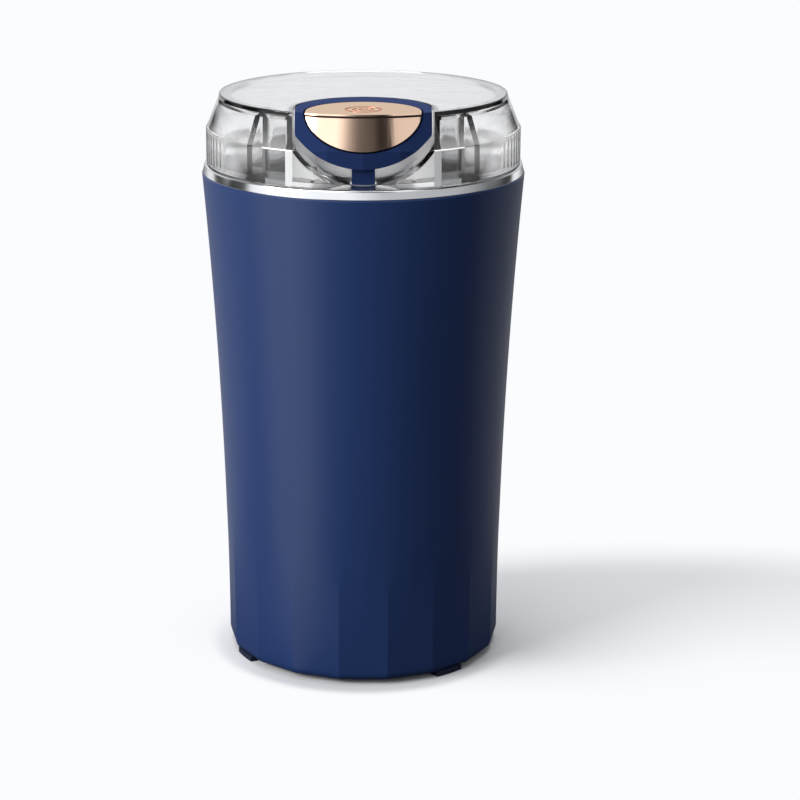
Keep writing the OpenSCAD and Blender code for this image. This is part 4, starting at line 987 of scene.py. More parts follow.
@dataclass
class Housing:
    """The flared shell, whose facets at the foot fade into a round wall, and its ring."""

    foot_r: float = 39.5
    flare: float = 6.0
    foot_z: float = 1.5
    top_z: float = 140.8
    wall: float = 2.2
    edge_in: float = 1.5
    edge_up: float = 2.4
    facets: int = 18
    cuts: int = 7
    fade_from: float = 6.0
    fade_to: float = 46.0
    lip: float = 0.35
    shelf: float = 2.4
    rings_outside: int = 56
    rings_inside: int = 12
    ring_r: float = 45.2
    ring_in: float = 43.0
    ring_h: float = 2.6
    ring_lean: float = 0.4
    ring_foot_r: float = 0.25
    ring_head_r: float = 0.55
    ring_edge: float = 0.3

    def radius(self, z: float) -> float:
        """Radius of the wall at a height."""
        return self.foot_r + self.flare * (z / self.top_z) ** 2

    def roundness(self, z: float) -> float:
        """How round the wall is at a height, from 0 at the facets to 1."""
        t = min(max((z - self.fade_from) / (self.fade_to - self.fade_from), 0.0), 1.0)
        return t * t * (3 - 2 * t)

    def build_shell(self) -> None:
        """Models the shell ring by ring, from its lower edge up, over the top and down inside."""
        Bench.clear()
        bpy.ops.mesh.primitive_circle_add(
            vertices=self.facets,
            radius=self.foot_r * MM,
            location=(0, 0, self.foot_z * MM),
            rotation=(0, 0, math.pi / self.facets),
        )
        piece = Bench.settle()
        bpy.ops.object.mode_set(mode="EDIT")
        bpy.ops.mesh.select_all(action="SELECT")
        bpy.ops.mesh.subdivide(number_cuts=self.cuts)
        bpy.ops.object.mode_set(mode="OBJECT")
        mean = sum(v.co.xy.length for v in piece.data.vertices) / len(piece.data.vertices) / MM
        dip = self.foot_r - mean
        bpy.ops.object.mode_set(mode="EDIT")
        bpy.ops.mesh.select_all(action="SELECT")
        bpy.ops.transform.resize(value=self._spread(mean - self.edge_in, mean))
        mean, here, left = mean - self.edge_in, self.foot_z, 1.0
        for z, inset in self._levels():
            bpy.ops.mesh.extrude_edges_move(TRANSFORM_OT_translate={"value": (0, 0, (z - here) * MM)})
            here = z
            wanted = 1 - self.roundness(z)
            if wanted < left:
                bpy.ops.transform.tosphere(value=1 - wanted / left)
                left = wanted
            target = self.radius(z) - dip * left - inset
            bpy.ops.transform.resize(value=self._spread(target, mean))
            mean = target
        bpy.ops.mesh.select_all(action="DESELECT")
        bpy.ops.mesh.select_non_manifold()
        bpy.ops.mesh.bridge_edge_loops()
        Bench.smooth(Bench.seal("housing_shell", piece), angle=9)
        mount(dress(piece, SATIN_NAVY), Body.HOUSING, "body_shell")

    def _levels(self) -> list[Point2]:
        """Works out the shell's rings.

        Returns:
            The height of each ring, with its inset from the wall's surface.
        """
        foot, top, edge, lip = self.foot_z, self.top_z, (self.edge_up, self.edge_in), self.lip
        turns = [math.radians(a) for a in range(15, 91, 15)]
        levels = [(foot + edge[0] * (1 - math.cos(t)), edge[1] * (1 - math.sin(t))) for t in turns]
        start, shelf = levels[-1][0], top - self.shelf
        for i in range(1, self.rings_outside + 1):
            levels.append((start + (top - lip - start) * i / self.rings_outside, 0.0))
        levels += [(top - lip * (1 - math.sin(t)), lip * (1 - math.cos(t))) for t in turns[1::2]]
        levels += [(top, self.wall), (shelf, self.wall)]
        for i in range(1, self.rings_inside + 1):
            levels.append((shelf - (shelf - foot) * i / self.rings_inside, self.wall))
        return levels

    @staticmethod
    def _spread(wanted: float, now: float) -> Point3:
        """Scale that brings a ring from one radius to another."""
        return (wanted / now, wanted / now, 1)

    def build_ring(self) -> None:
        """Models the bright ring on the shell's top edge."""
        outer, inner, low, high = self.ring_r, self.ring_in, self.top_z, self.top_z + self.ring_h
        foot, head, edge = self.ring_foot_r, self.ring_head_r, self.ring_edge
        outline = [(inner, low), (outer - 0.15, low)]
        outline += arc((outer - foot, low + foot), foot, -60, 10, 4)
        outline += arc((outer - self.ring_lean - head, high - head), head, 14, 90, 8)
        outline += [(inner + edge, high), (inner, high - edge)]
        piece = Bench.smooth(Bench.lathe("ring_band", outline, 256), angle=40)
        mount(dress(piece, RING_METAL), Body.HOUSING, "trim_ring")

    def build(self) -> None:
        """Builds the shell and its ring."""
        self.build_shell()
        self.build_ring()


@dataclass
class Bowl:
    """The steel bowl and the deck between bowl and shell."""

    inner_r: float = 35.0
    sheet: float = 0.6
    floor_z: float = 91.0
    corner_r: float = 14.0
    rim_z: float = 142.1
    rim_r: float = 0.5
    flange_r: float = 37.8
    hole_r: float = 6.95
    deck_in: float = 36.0
    deck_out: float = 42.8
    deck_low: float = 138.4
    deck_high: float = 141.0
    deck_edge: float = 0.3
    slot_half: float = 3.5
    slot_front: float = -42.4
    slot_back: float = -38.0

    def build_bowl(self) -> None:
        """Models the drawn bowl with a rounded lip and corner."""
        corner = (self.inner_r - self.corner_r, self.floor_z + self.corner_r)
        outline = [(self.hole_r, self.floor_z)] + arc(corner, self.corner_r, -90, 0, 16)
        outline += arc((self.inner_r + self.rim_r, self.rim_z - self.rim_r), self.rim_r, 180, 90, 5)
        outline += [(self.flange_r, self.rim_z), (self.flange_r, self.rim_z - self.sheet)]
        outline += [(self.inner_r + self.sheet, self.rim_z - self.sheet - 0.05)]
        outline += arc(corner, self.corner_r + self.sheet, 0, -90, 16)
        outline += [(self.hole_r, self.floor_z - self.sheet)]
        piece = Bench.smooth(Bench.lathe("steel_bowl", outline), angle=40)
        mount(dress(piece, BOWL_STEEL), Body.HOUSING, "grinding_bowl")

    def build_deck(self) -> None:
        """Models the deck with softened edges and the slot for the button's stem."""
        inner, outer, edge = self.deck_in, self.deck_out, self.deck_edge
        low, high = self.deck_low, self.deck_high
        outline = [(inner, low), (outer, low), (outer, high - edge), (outer - edge, high)]
        outline += [(inner + edge, high), (inner, high - edge)]
        piece = Bench.lathe("deck_ring", outline)
        corners = (-self.slot_half, self.slot_front, low - 1), (self.slot_half, self.slot_back, high + 1)
        Bench.cut(piece, Bench.block(*corners), Cut.REMOVE)
        mount(dress(Bench.smooth(piece, angle=30), DECK), Body.HOUSING, "top_deck")

    def build(self) -> None:
        """Builds the bowl and the deck."""
        self.build_bowl()
        self.build_deck()


# ---------------------------------------------------------------- lid


@dataclass
class LidForm:
    """Outer form of the lid and the plans and fronts that pocket and button share."""

    base_z: float = 143.5
    shoulder_z: float = 153.5
    top_z: float = 163.0
    over_z: float = 164.0
    side_r: float = 44.2
    top_r: float = 40.3
    reach: float = 60.0

    def radius(self, z: float) -> float:
        """Radius of the lid's surface at a height."""
        rise = max((z - self.shoulder_z) / (self.top_z - self.shoulder_z), 0.0)
        return self.side_r - (self.side_r - self.top_r) * rise

    def core(self, inset: float, low: float, high: float, steps: int = 256) -> Piece:
        """Makes a solid of the lid's outer form.

        Args:
            inset: how far it is set in.
            low: its lower height.
            high: its upper height, above the shoulder.
            steps: how many sides it has.

        Returns:
            The solid.
        """
        outline = [(0.0, low), (self.side_r - inset, low), (self.side_r - inset, self.shoulder_z)]
        outline += [(self.radius(high) - inset, high), (0.0, high)]
        return Bench.lathe("core", outline, steps)

    def tongue(self, half_w: float, centre: float, low: float, high: float) -> Piece:
        """Makes a solid with straight sides to the front and a round back.

        Args:
            half_w: half its width, and the radius of its back.
            centre: how far before the axis the back's centre lies.
            low: its lower height.
            high: its upper height.

        Returns:
            The solid.
        """
        back = [(x, y, low) for x, y in arc((0.0, -centre), half_w, 0, 180, 96)]
        outline = [(half_w, -self.reach, low)] + back + [(-half_w, -self.reach, low)]
        return Bench.slab("tongue", outline, (0, 0, high - low))

    def trough(self, half_w: float, low: float, corner: float) -> Piece:
        """Makes a solid whose front view is a wide arc.

        Args:
            half_w: half the width between the arc's corners.
            low: the height of its bottom.
            corner: the height of its corners.

        Returns:
            The solid.
        """
        rise = corner - low
        radius = (half_w**2 + rise**2) / (2 * rise)
        return Bench.roller(radius, low + radius, 2 * self.reach + 4)


@dataclass
class Lid:
    """The clear lid: wall with pocket and ribs, top disc, and skirt."""

    form: LidForm
    wall: float = 1.6
    step: float = 0.22
    web_z: float = 143.6
    web_top: float = 145.0
    disc_z: float = 161.9
    rim_w: float = 3.0
    rim_t: float = 1.4
    skirt_r: float = 34.6
    skirt_in: float = 33.2
    skirt_z: float = 134.1
    skirt_edge: float = 0.3
    groove: tuple[float, float, float] = (0.7, 137.1, 139.3)
    slot_low: Point3 = (-3.5, -42.4, 142.0)
    slot_high: Point3 = (3.5, -38.8, 147.6)
    pocket_half: float = 18.9
    pocket_wall: float = 1.3
    pocket_low: float = 144.6
    pocket_corner: float = 155.3
    pocket_centre: float = 28.5
    apron_r: float = 37.7
    apron_t: float = 0.9
    skin: float = 0.02
    # where the finishes of the front wall change, across and in height
    prop_x: float = 19.5
    edge_x: float = 20.0
    box_edge_x: float = 20.6
    rib_x: float = 26.0
    crease_x: float = 27.0
    shade_low: float = 145.0
    shade_high: float = 152.0

    def build_cover(self) -> None:
        """Models the wall, then joins pocket and ribs to it and opens the pocket."""
        form = self.form
        piece = Bench.lathe("lid_wall", self._wall_outline(), 256)
        inside = self._pocket_block()
        for rib in self._ribs() + [self._apron()]:
            Bench.cut(inside, rib, Cut.JOIN)
        Bench.cut(inside, form.core(self.wall / 2, self.web_z + self.skin, self.disc_z - self.skin), Cut.KEEP)
        Bench.cut(piece, inside, Cut.JOIN)
        room = form.tongue(self.pocket_half, self.pocket_centre, self.web_z, form.over_z)
        Bench.cut(room, form.trough(self.pocket_half, self.pocket_low, self.pocket_corner), Cut.KEEP)
        Bench.cut(piece, room, Cut.REMOVE)
        Bench.cut(piece, Bench.block(self.slot_low, self.slot_high), Cut.REMOVE)
        Bench.smooth(piece, angle=28)
        mount(paint(piece, CoverZone, self._zone), Body.LID, "lid_cover")

    def _wall_outline(self) -> list[Point2]:
        """Draws the section of the wall, rim and web, with a rounded step at the shoulder.

        Returns:
            Its corners.
        """
        form, side, rim = self.form, self.form.side_r - self.wall, self.form.top_r - self.rim_w
        under = self.disc_z - self.rim_t
        outline = [(form.side_r - 0.25, form.base_z), (form.side_r, form.base_z + 0.25)]
        outline += arc((form.side_r - 0.3, form.shoulder_z - 0.3), 0.3, 0, 90, 5)
        outline += [(form.radius(self.disc_z) - self.step, self.disc_z), (rim, self.disc_z), (rim, under)]
        outline += [(form.radius(under) - self.wall, under), (side, form.shoulder_z), (side, self.web_top)]
        outline += [(self.skirt_in, self.web_top), (self.skirt_in, self.web_z)]
        return outline + [(side, self.web_z), (side, form.base_z)]

    def _pocket_block(self) -> Piece:
        """Makes the solid that the pocket is cut from.

        Returns:
            The solid.
        """
        half = self.pocket_half + self.pocket_wall
        block = self.form.tongue(half, self.pocket_centre, self.web_z - 2, self.disc_z + 2)
        bottom = self.form.trough(half, self.pocket_low - self.pocket_wall, self.pocket_corner)
        return Bench.cut(block, bottom, Cut.KEEP)

    def _apron(self) -> Piece:
        """Makes the curved wall that closes the room below the pocket, behind the front.

        Returns:
            The wall.
        """
        low, high = self.web_z - 0.7, self.pocket_corner
        inner = self.apron_r - self.apron_t
        wall = Bench.lathe("apron", [(inner, low), (self.apron_r, low), (self.apron_r, high), (inner, high)])
        reach = self.pocket_half + self.pocket_wall / 2
        return Bench.cut(wall, Bench.block((-reach, -50, low - 1), (reach, -20, high + 1)), Cut.KEEP)

    def _ribs(self) -> list[Piece]:
        """Makes slanting ribs, side walls, props of the pocket, and guides beside the stem.

        Returns:
            The ribs.
        """
        ribs = []
        low, high, front = self.web_z - 1, self.disc_z + 1, -self.form.side_r - 1
        prop = self.pocket_half + self.pocket_wall / 2
        walls = (
            # place across, thickness, back and top
            (self.rib_x, 1.4, -25.2, high),
            (prop, 1.28, -32.5, 157.3),
            (13.4, 0.9, -36.2, 149.3),
            (4.9, 0.8, -37.2, 146.2),
        )
        for side in (-1, 1):
            slant = Bench.block((-1.0, front - 1, low - 0.1), (1.0, -self.skirt_r - 2, high + 0.1))
            ribs.append(Bench.move(slant, turned=side * 45))
            for x, t, back, top in walls:
                # no two ribs start in the same plane, which the joining needs
                start = (side * x - t / 2, front - x / 100, low - x / 100)
                ribs.append(Bench.block(start, (side * x + t / 2, back, top)))
        return ribs

    def _zone(self, face: Face) -> CoverZone:
        """Says which zone of the wall a face is in.

        Args:
            face: the face.

        Returns:
            Its zone.
        """
        form, centre, normal = self.form, face.center, face.normal
        height, reach, across = centre.z / MM, centre.xy.length / MM, abs(centre.x / MM)
        rise = height - form.shoulder_z
        outward = normal.xy.dot(centre.xy.normalized()) > 0.7
        ahead = centre.y < 0
        slanted = outward and ahead and rise > 0.1 and reach > form.top_r - 1.2
        lower = abs(reach - form.side_r) < 0.1 and self.shade_low < height < self.shade_high
        # Lower front wall: the painted shade, darker towards the foot, beside the pocket and beyond the ribs.
        if lower and ahead and across > self.pocket_half:
            if across < self.box_edge_x:
                # painted glow that widens the bright box
                return CoverZone.BOX_EDGE
            return CoverZone.INNER if across < self.rib_x else CoverZone.OUTER
        # the shoulder beyond the ribs gets the painted glow
        if slanted and across > self.rib_x:
            return CoverZone.SHOULDER
        # Painted highlight: the thin faces of the front's crease take the glowing frosted finish as a bright
        # line.
        crease = -0.32 < rise < 0 and reach > form.side_r - 0.4
        if crease and ahead and self.pocket_half < across < self.crease_x:
            return CoverZone.BOX
        # the slope between pocket and ribs gets the painted shade and glow
        if slanted and self.edge_x < across < self.rib_x:
            return CoverZone.MATT
        # the strip beside the pocket gets the painted shade
        if slanted and self.pocket_half < across < self.edge_x:
            return CoverZone.EDGE
        # the ribs' and props' end faces get the painted shade
        end = abs(normal.x) > 0.99 or normal.y > 0.99
        if end and (abs(across - self.rib_x) < 1 or abs(across - self.prop_x) < 0.8):
            return CoverZone.RIB
        # the apron behind the front is frosted white with painted glow
        if outward and abs(reach - self.apron_r) < 0.1 and across < self.pocket_half:
            return CoverZone.BOX
        return CoverZone.PLAIN

    def build_top(self) -> None:
        """Models the top disc with a softened edge and the button's cut-out."""
        form, low = self.form, self.disc_z + self.skin
        outline = [(0.0, low), (form.radius(self.disc_z) - self.step, low)]
        outline += [(form.top_r + 0.05, form.top_z - 0.25)]
        outline += arc((form.top_r - 0.2, form.top_z - 0.25), 0.25, 0, 90, 4)
        outline += [(form.top_r - 0.6, form.top_z), (0.0, form.top_z)]
        piece = Bench.lathe("lid_disc", outline, 256)
        room = form.tongue(self.pocket_half, self.pocket_centre, self.disc_z - 1, form.over_z)
        Bench.smooth(Bench.cut(piece, room, Cut.REMOVE), angle=28)
        mount(dress(piece, CLEAR), Body.LID, "lid_top")

    def build_skirt(self) -> None:
        """Models the skirt with the groove of its seal."""
        inner, outer, edge = self.skirt_in, self.skirt_r, self.skirt_edge
        foot, top = self.skirt_z, self.web_z - self.skin
        depth, low, high = self.groove
        outline = [(inner, foot + edge), (inner + edge, foot), (outer - edge, foot), (outer, foot + edge)]
        outline += [(outer, low), (outer - depth, low), (outer - depth, high), (outer, high)]
        outline += [(outer, top), (inner, top)]
        piece = Bench.smooth(Bench.lathe("lid_collar", outline), angle=30)
        mount(dress(piece, CLEAR), Body.LID, "lid_skirt")

    def build(self) -> None:
        """Builds the lid's pieces."""
        self.build_cover()
        self.build_top()
        self.build_skirt()


@dataclass
class Button:
    """The pressed button: navy frame with its stem, metal plate and ornament."""

    form: LidForm
    half_w: float = 18.3
    centre: float = 28.5
    low: float = 148.9
    corner: float = 157.3
    setback: float = 0.4
    stem_low: Point3 = (-3.1, -42.2, 141.6)
    stem_high: Point2 = (3.1, -39.2)
    plate_half: float = 15.5
    plate_centre: float = 34.0
    plate_drop: float = 9.3
    plate_t: float = 1.4
    gap: float = 0.55
    facets: int = 28
    groove: Point2 = (40.5, 1.5)
    groove_low: float = 162.05
    groove_high: float = 162.6
    ornament_y: float = -31.0
    ornament_z: float = 162.86
    ornament: tuple[Point2, ...] = ((4.7, 0.7), (2.7, 0.6), (1.0, 0.5))

    def _plate_room(self, grow: float) -> Piece:
        """Makes the room of the plate: a tongue from above, and from the front half an ellipse.

        Args:
            grow: how far it is grown on every side.

        Returns:
            The room.
        """
        form, ahead = self.form, -self.form.reach - 1
        half, drop = self.plate_half + grow + 0.05, self.plate_drop + grow + 0.4
        outline = [(half, ahead, form.top_z + 2), (-half, ahead, form.top_z + 2)]
        for x, z in arc((0.0, 0.0), 1.0, 180, 360, 96):
            outline.append((half * x, ahead, form.top_z + 0.4 + drop * z))
        room = form.tongue(self.plate_half + grow, self.plate_centre, 148, form.over_z)
        return Bench.cut(room, Bench.slab("front", outline, (0, form.reach, 0)), Cut.KEEP)

    def build_frame(self) -> None:
        """Models the frame: plan and front cut from a faceted form of the lid, and the stem."""
        form = self.form
        piece = form.tongue(self.half_w, self.centre, self.low - 1, form.over_z)
        Bench.cut(piece, form.trough(self.half_w, self.low, self.corner), Cut.KEEP)
        Bench.cut(piece, Bench.block(self.stem_low, (*self.stem_high, self.low + 1)), Cut.JOIN)
        Bench.cut(piece, form.core(self.setback, 141, form.top_z, self.facets), Cut.KEEP)
        Bench.cut(piece, self._plate_room(self.gap), Cut.REMOVE)
        Bench.soften(piece, width=0.2, segments=2)
        Bench.smooth(Bench.name(piece, "button_shell"), angle=10)
        mount(dress(piece, BUTTON_NAVY), Body.BUTTON, "button_frame")

    def _cut_ring(self, piece: Piece, ring: Point2, low: float, high: float, y: float = 0.0) -> None:
        """Cuts a turned ring into the plate.

        Args:
            piece: the plate.
            ring: its middle radius and its width.
            low: its lower height.
            high: its upper height.
            y: where its axis stands.
        """
        inner, outer = ring[0] - ring[1] / 2, ring[0] + ring[1] / 2
        tool = Bench.lathe("ring tool", [(inner, low), (outer, low), (outer, high), (inner, high)], 96)
        Bench.cut(piece, Bench.move(tool, y), Cut.REMOVE)

    def _zone(self, face: Face) -> PlateZone:
        """Says which zone of the plate a face is in.

        Args:
            face: the face.

        Returns:
            Its zone.
        """
        height, reach, up = face.center.z / MM, face.center.xy.length / MM, face.normal.z
        levels = (self.groove_low, self.groove_high)
        level = min(abs(height - z) for z in levels) < 0.02 and abs(up) > 0.9
        wall = abs(reach - self.groove[0] + self.groove[1] / 2) < 0.1 and 162 < height < 162.65
        # the groove's floor, roof and wall take the painted shade
        if face.center.y / MM < -30 and reach < 40.3 and (level or wall):
            return PlateZone.GROOVE
        if abs(height - self.ornament_z) < 0.02 and up > 0.9:
            return PlateZone.ORNAMENT
        return PlateZone.PLAIN

    def build_plate(self) -> None:
        """Models the plate that wraps the button's top and front, with its groove and ornament."""
        form = self.form
        piece = self._plate_room(0.0)
        Bench.cut(piece, form.core(self.setback - 0.1, 148, form.top_z), Cut.KEEP)
        inner = form.tongue(self.plate_half - self.plate_t, self.plate_centre, 140, form.top_z - self.plate_t)
        Bench.cut(inner, form.core(self.setback + self.plate_t, 145, 162.6, 250), Cut.KEEP)
        Bench.cut(piece, inner, Cut.REMOVE)
        Bench.soften(piece, width=0.3, segments=4)
        self._cut_ring(piece, self.groove, self.groove_low, self.groove_high)
        for ring in self.ornament:
            self._cut_ring(piece, ring, self.ornament_z, form.over_z, self.ornament_y)
        Bench.smooth(Bench.name(piece, "button_cap"), angle=28)
        mount(paint(piece, PlateZone, self._zone), Body.BUTTON, "button_plate")

    def build(self) -> None:
        """Builds the button's pieces."""
        self.build_frame()
        self.build_plate()


# ---------------------------------------------------------------- springs


@dataclass
class Spring:
    """A wound spring with closed ends."""

    node: str
    name: str
    body: Body
    joint: str
    turns: int
    wire_r: float
    travel: float = 2.0
    dead_turns: float = 1.0
    steps_per_turn: int = 24
    closed_pitch: float = 2.06  # of the closed turns, in radii of the wire

    def _height(self, turn: float, length: float) -> float:
        """Works out the height of the wire's middle above the spring's foot.

        Args:
            turn: turns wound so far, from the foot.
            length: the spring's length.

        Returns:
            The height.
        """
        closed = self.closed_pitch * self.wire_r
        live = (turn - self.dead_turns) / (self.turns - 2 * self.dead_turns)
        stretch = length - 2 * self.wire_r - closed * self.turns
        return self.wire_r + closed * turn + min(max(live, 0.0), 1.0) * stretch

    def build(self) -> None:
        """Winds the wire in the room of the CAD spring."""
        low, high = (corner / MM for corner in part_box(self.node))
        middle, length = (low + high) / 2, high.z - low.z
        reach = (high.x - low.x) / 2 - self.wire_r
        points = []
        for step in range(self.turns * self.steps_per_turn + 1):
            turn = step / self.steps_per_turn
            angle = 2 * math.pi * turn
            x, y = middle.x + reach * math.cos(angle), middle.y + reach * math.sin(angle)
            points.append((x, y, low.z + self._height(turn, length)))
        piece = Bench.smooth(Bench.wire(self.name, points, self.wire_r), angle=40)
        mount(dress(piece, SPRING_WIRE), self.body, self.node)
        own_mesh(piece)


# ---------------------------------------------------------------- the rest of the frame


@dataclass
class FrameNodes:
    """The CAD nodes that stay as they are and only get their finish."""

    record: dict

    def finish(self) -> None:
        """Gives every CAD node the finish of its slot."""
        for part in self.record["subparts"]:
            finish = FINISH_OF_SLOT[part["material_slot"]]
            for slot in frame["nodes"][part["node"]].material_slots:
                slot.material = finish.material()
            LOG.info("%s: %s", part["node"], finish.name)


# ---------------------------------------------------------------- studio


@dataclass
class Studio:
    """Floor, world, lamps and camera. Places on the floor and sizes of lamps are metres."""

    focal_px: float = 2463.7
    distance: float = 686.84
    height: float = 271.09
    pitch: float = 0.28077
    centre_px: float = 363.35
    frame_px: float = 800.0
    sensor: float = 36.0
    backdrop: Colour = (0.965, 0.973, 0.99)
    room_tone: Colour = (0.95, 0.97, 1.0)
    floor_tone: Colour = (0.93, 0.937, 0.95)
    dark_floor: Colour = (0.06, 0.061, 0.063)
    shadow_at: Point3 = (0.085, 0.018, 0)
    shadow_size: Point3 = (0.17, 0.070, 1)
    shadow_edge: Point2 = (0.45, 1.0)
    contact_r: Point2 = (0.0415, 0.0465)
    strip_from: Point3 = (-0.0204, -0.0367, 0)
    strip_along: Point3 = (-0.848, -0.53, 0)
    strip_edge: Point2 = (0.80, 0.99)
    floor_size: float = 8.0
    floor_z: float = -0.00002
    floor_back: Point2 = (-0.05, 0.09)
    floor_far: Point2 = (0.9, 1.8)
    back_gloss: float = 0.32
    room_light: float = 0.27
    # heights in the room's directions, from -1 straight down to 1 straight up
    cards_split: Point2 = (0.27, 0.36)
    cards_foot: Point2 = (0.0, 0.12)
    cards_dim: float = 0.02
    white_foot: Point2 = (-0.05, 0.12)
    # brightness by bearing in degrees, from the front to the right, low and high in the room
    low_cards: tuple[Point2, ...] = (
        (-180, 0.8), (-155, 1.0), (-114, 1.0), (-108, 0.1), (-93, 0.1), (-86, 1.1), (-10, 1.1),
        (15, 0.6), (70, 0.5), (100, 0.25), (130, 0.7), (180, 0.8),
    )  # fmt: skip
    high_cards: tuple[Point2, ...] = (
        (-180, 0.7), (-120, 0.4), (-78, 0.1), (-66, 1.3), (-22, 1.7), (-11, 0.5), (-4, 0.18), (10, 0.10),
        (12, 0.03), (23, 0.02), (24.5, 0.9), (50, 0.95), (60, 0.05), (120, 0.05), (150, 0.4), (180, 0.7),
    )  # fmt: skip

    def place_camera(self) -> None:
        """Adds the camera, looking level with the lens's shift and down by its pitch."""
        data = bpy.data.cameras.new("view")
        data.sensor_width = self.sensor
        data.lens = self.focal_px * self.sensor / self.frame_px
        data.shift_x = (self.frame_px / 2 - self.centre_px) / self.frame_px
        data.clip_start = 0.01
        camera = bpy.data.objects.new("view", data)
        camera.location = (0, -self.distance * MM, self.height * MM)
        camera.rotation_euler = (math.pi / 2 - self.pitch, 0, 0)
        bpy.context.scene.collection.objects.link(camera)
        bpy.context.scene.camera = camera

    def lay_floor(self) -> None:
        """Lays a pale floor that keeps the shadow and runs out into the white backdrop."""
        Bench.clear()
        squares = {"x_subdivisions": 8, "y_subdivisions": 8}
        bpy.ops.mesh.primitive_grid_add(size=self.floor_size, location=(0, 0, self.floor_z), **squares)
        floor = Bench.name(bpy.context.object, "floor")
        material = bpy.data.materials.new("floor")
        sheet = Sheet.on(material)
        point = sheet.add("ShaderNodeTexCoord").outputs["Object"]
        rays = sheet.add("ShaderNodeLightPath").outputs
        depth = sheet.parts(point)[1]
        # what each kind of ray sees: the camera, clear plastic and far gloss see the backdrop
        behind = sheet.ease(depth, *self.floor_back)
        through = sheet.math("MULTIPLY", rays["Is Transmission Ray"], behind)
        mirrored = sheet.math("MULTIPLY", rays["Is Glossy Ray"], sheet.ease(depth, *self.floor_far))
        shown = sheet.math("MAXIMUM", rays["Is Camera Ray"], sheet.math("MAXIMUM", mirrored, through))
        # where the floor keeps its shadow: a long patch on the right, and a rim round the foot
        patch = {"vector_type": "TEXTURE", "in_Location": self.shadow_at, "in_Scale": self.shadow_size}
        spot = sheet.add("ShaderNodeMapping", point, **patch).outputs[0]
        fade = sheet.ease(sheet.length(spot), *self.shadow_edge)
        contact = sheet.ease(sheet.length(point), *self.contact_r)
        seen = sheet.math("MULTIPLY", sheet.math("MULTIPLY", fade, contact), shown)
        # what the body mirrors: a dark floor with a light strip to the left front
        start = sheet.add("ShaderNodeVectorMath", point, self.strip_from, operation="SUBTRACT").outputs[0]
        bearing = sheet.add("ShaderNodeVectorMath", start, operation="NORMALIZE").outputs[0]
        along = sheet.add("ShaderNodeVectorMath", bearing, self.strip_along, operation="DOT_PRODUCT")
        strip = sheet.ease(along.outputs["Value"], *self.strip_edge)
        bright = sheet.math("MAXIMUM", strip, sheet.math("MULTIPLY", behind, self.back_gloss))
        gloss = sheet.mix(bright, (*self.dark_floor, 1), (*self.floor_tone, 1))
        tone = sheet.mix(shown, gloss, (*self.floor_tone, 1))
        pale = sheet.add("ShaderNodeBsdfDiffuse", in_Color=tone).outputs[0]
        glow = sheet.add("ShaderNodeEmission", (*self.backdrop, 1), 1.0).outputs[0]
        sheet.add("ShaderNodeOutputMaterial", sheet.add("ShaderNodeMixShader", seen, pale, glow).outputs[0])
        floor.data.materials.append(material)

    def light_world(self) -> None:
        """Lights the room softly: white behind, and cards round it that only gloss shows."""
        world = bpy.data.worlds.new("room")
        bpy.context.scene.world = world
        sheet = Sheet.on(world)
        rays = sheet.add("ShaderNodeLightPath").outputs
        x, y, z = sheet.parts(sheet.add("ShaderNodeTexCoord").outputs["Generated"])
        turn = sheet.ramp(sheet.math("ARCTAN2", x, sheet.math("MULTIPLY", y, -1.0)), -math.pi, math.pi)
        low, high = self._cards(sheet, turn, self.low_cards), self._cards(sheet, turn, self.high_cards)
        cards = sheet.mix(sheet.ease(z, *self.cards_split), low, high, "FLOAT")
        carded = sheet.math("MULTIPLY", cards, sheet.ease(z, *self.cards_foot, low=self.cards_dim))
        level = sheet.mix(rays["Is Diffuse Ray"], carded, self.room_light, "FLOAT")
        through = sheet.math("MULTIPLY", rays["Is Transmission Ray"], sheet.ease(z, *self.white_foot))
        shown = sheet.math("MAXIMUM", rays["Is Camera Ray"], through)
        room = sheet.add("ShaderNodeBackground", (*self.room_tone, 1), level).outputs[0]
        white = sheet.add("ShaderNodeBackground", (*self.backdrop, 1), 1.0).outputs[0]
        sheet.add("ShaderNodeOutputWorld", sheet.add("ShaderNodeMixShader", shown, room, white).outputs[0])

    @staticmethod
    def _cards(sheet: Sheet, turn: Socket, stops: tuple[Point2, ...]) -> Socket:
        """Adds the brightness round the room.

        Args:
            sheet: the world's sheet.
            turn: the bearing, from 0 at the back round to 1.
            stops: each stop's bearing in degrees, and its brightness.

        Returns:
            The brightness at the bearing.
        """
        node = sheet.add("ShaderNodeValToRGB", turn)
        ramp = node.color_ramp
        ramp.elements.remove(ramp.elements[1])
        for index, (bearing, level) in enumerate(stops):
            place = (bearing + 180) / 360
            stop = ramp.elements[0] if index == 0 else ramp.elements.new(place)
            stop.position = place
            stop.color = (level, level, level, 1)
        return node.outputs[0]

    def lamp(self, name: str, place: Point3, aim: Point3, size: Point2, power: float) -> None:
        """Adds a soft area lamp.

        Args:
            name: the lamp's name.
            place: where it stands, in metres.
            aim: the point it faces, in metres.
            size: width and height in metres.
            power: its power in watts.
        """
        data = bpy.data.lights.new(name, "AREA")
        data.shape = "RECTANGLE"
        data.size, data.size_y = size
        data.energy = power
        lamp = bpy.data.objects.new(name, data)
        lamp.location = place
        lamp.rotation_euler = (Vector(aim) - Vector(place)).to_track_quat("-Z", "Y").to_euler()
        bpy.context.scene.collection.objects.link(lamp)

    def build(self) -> None:
        """Sets the whole studio."""
        bpy.context.scene.view_settings.view_transform = "Standard"
        self.place_camera()
        self.lay_floor()
        self.light_world()
        self.lamp("key", place=(-1.04, -0.60, 0.70), aim=(0, 0, 0.08), size=(0.75, 0.6), power=13.2)
        self.lamp("top", place=(0.0, 0.3, 1.3), aim=(0, 0.05, 0.1), size=(0.9, 0.9), power=9)


# ---------------------------------------------------------------- main


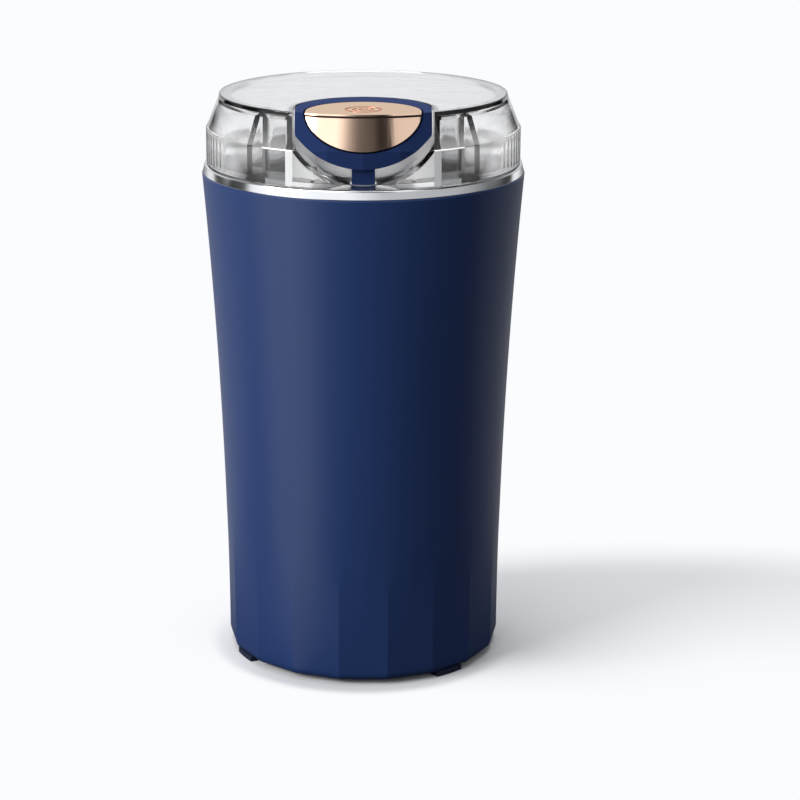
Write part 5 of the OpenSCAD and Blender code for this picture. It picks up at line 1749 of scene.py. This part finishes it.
def main() -> None:
    """Builds the studio, dresses the frame and models the visible pieces."""
    logging.basicConfig(level=logging.INFO, format="%(message)s")
    Studio().build()
    FrameNodes(frame["record"]).finish()
    form = LidForm()
    Housing().build()
    Bowl().build()
    Lid(form).build()
    Button(form).build()
    Spring("button_spring", "button_coil", Body.LID, "button_press", turns=5, wire_r=0.3).build()
    Spring("push_rod_spring", "push_rod_coil", Body.HOUSING, "push_rod_slide", turns=9, wire_r=0.2).build()


if __name__ == "__main__":
    main()
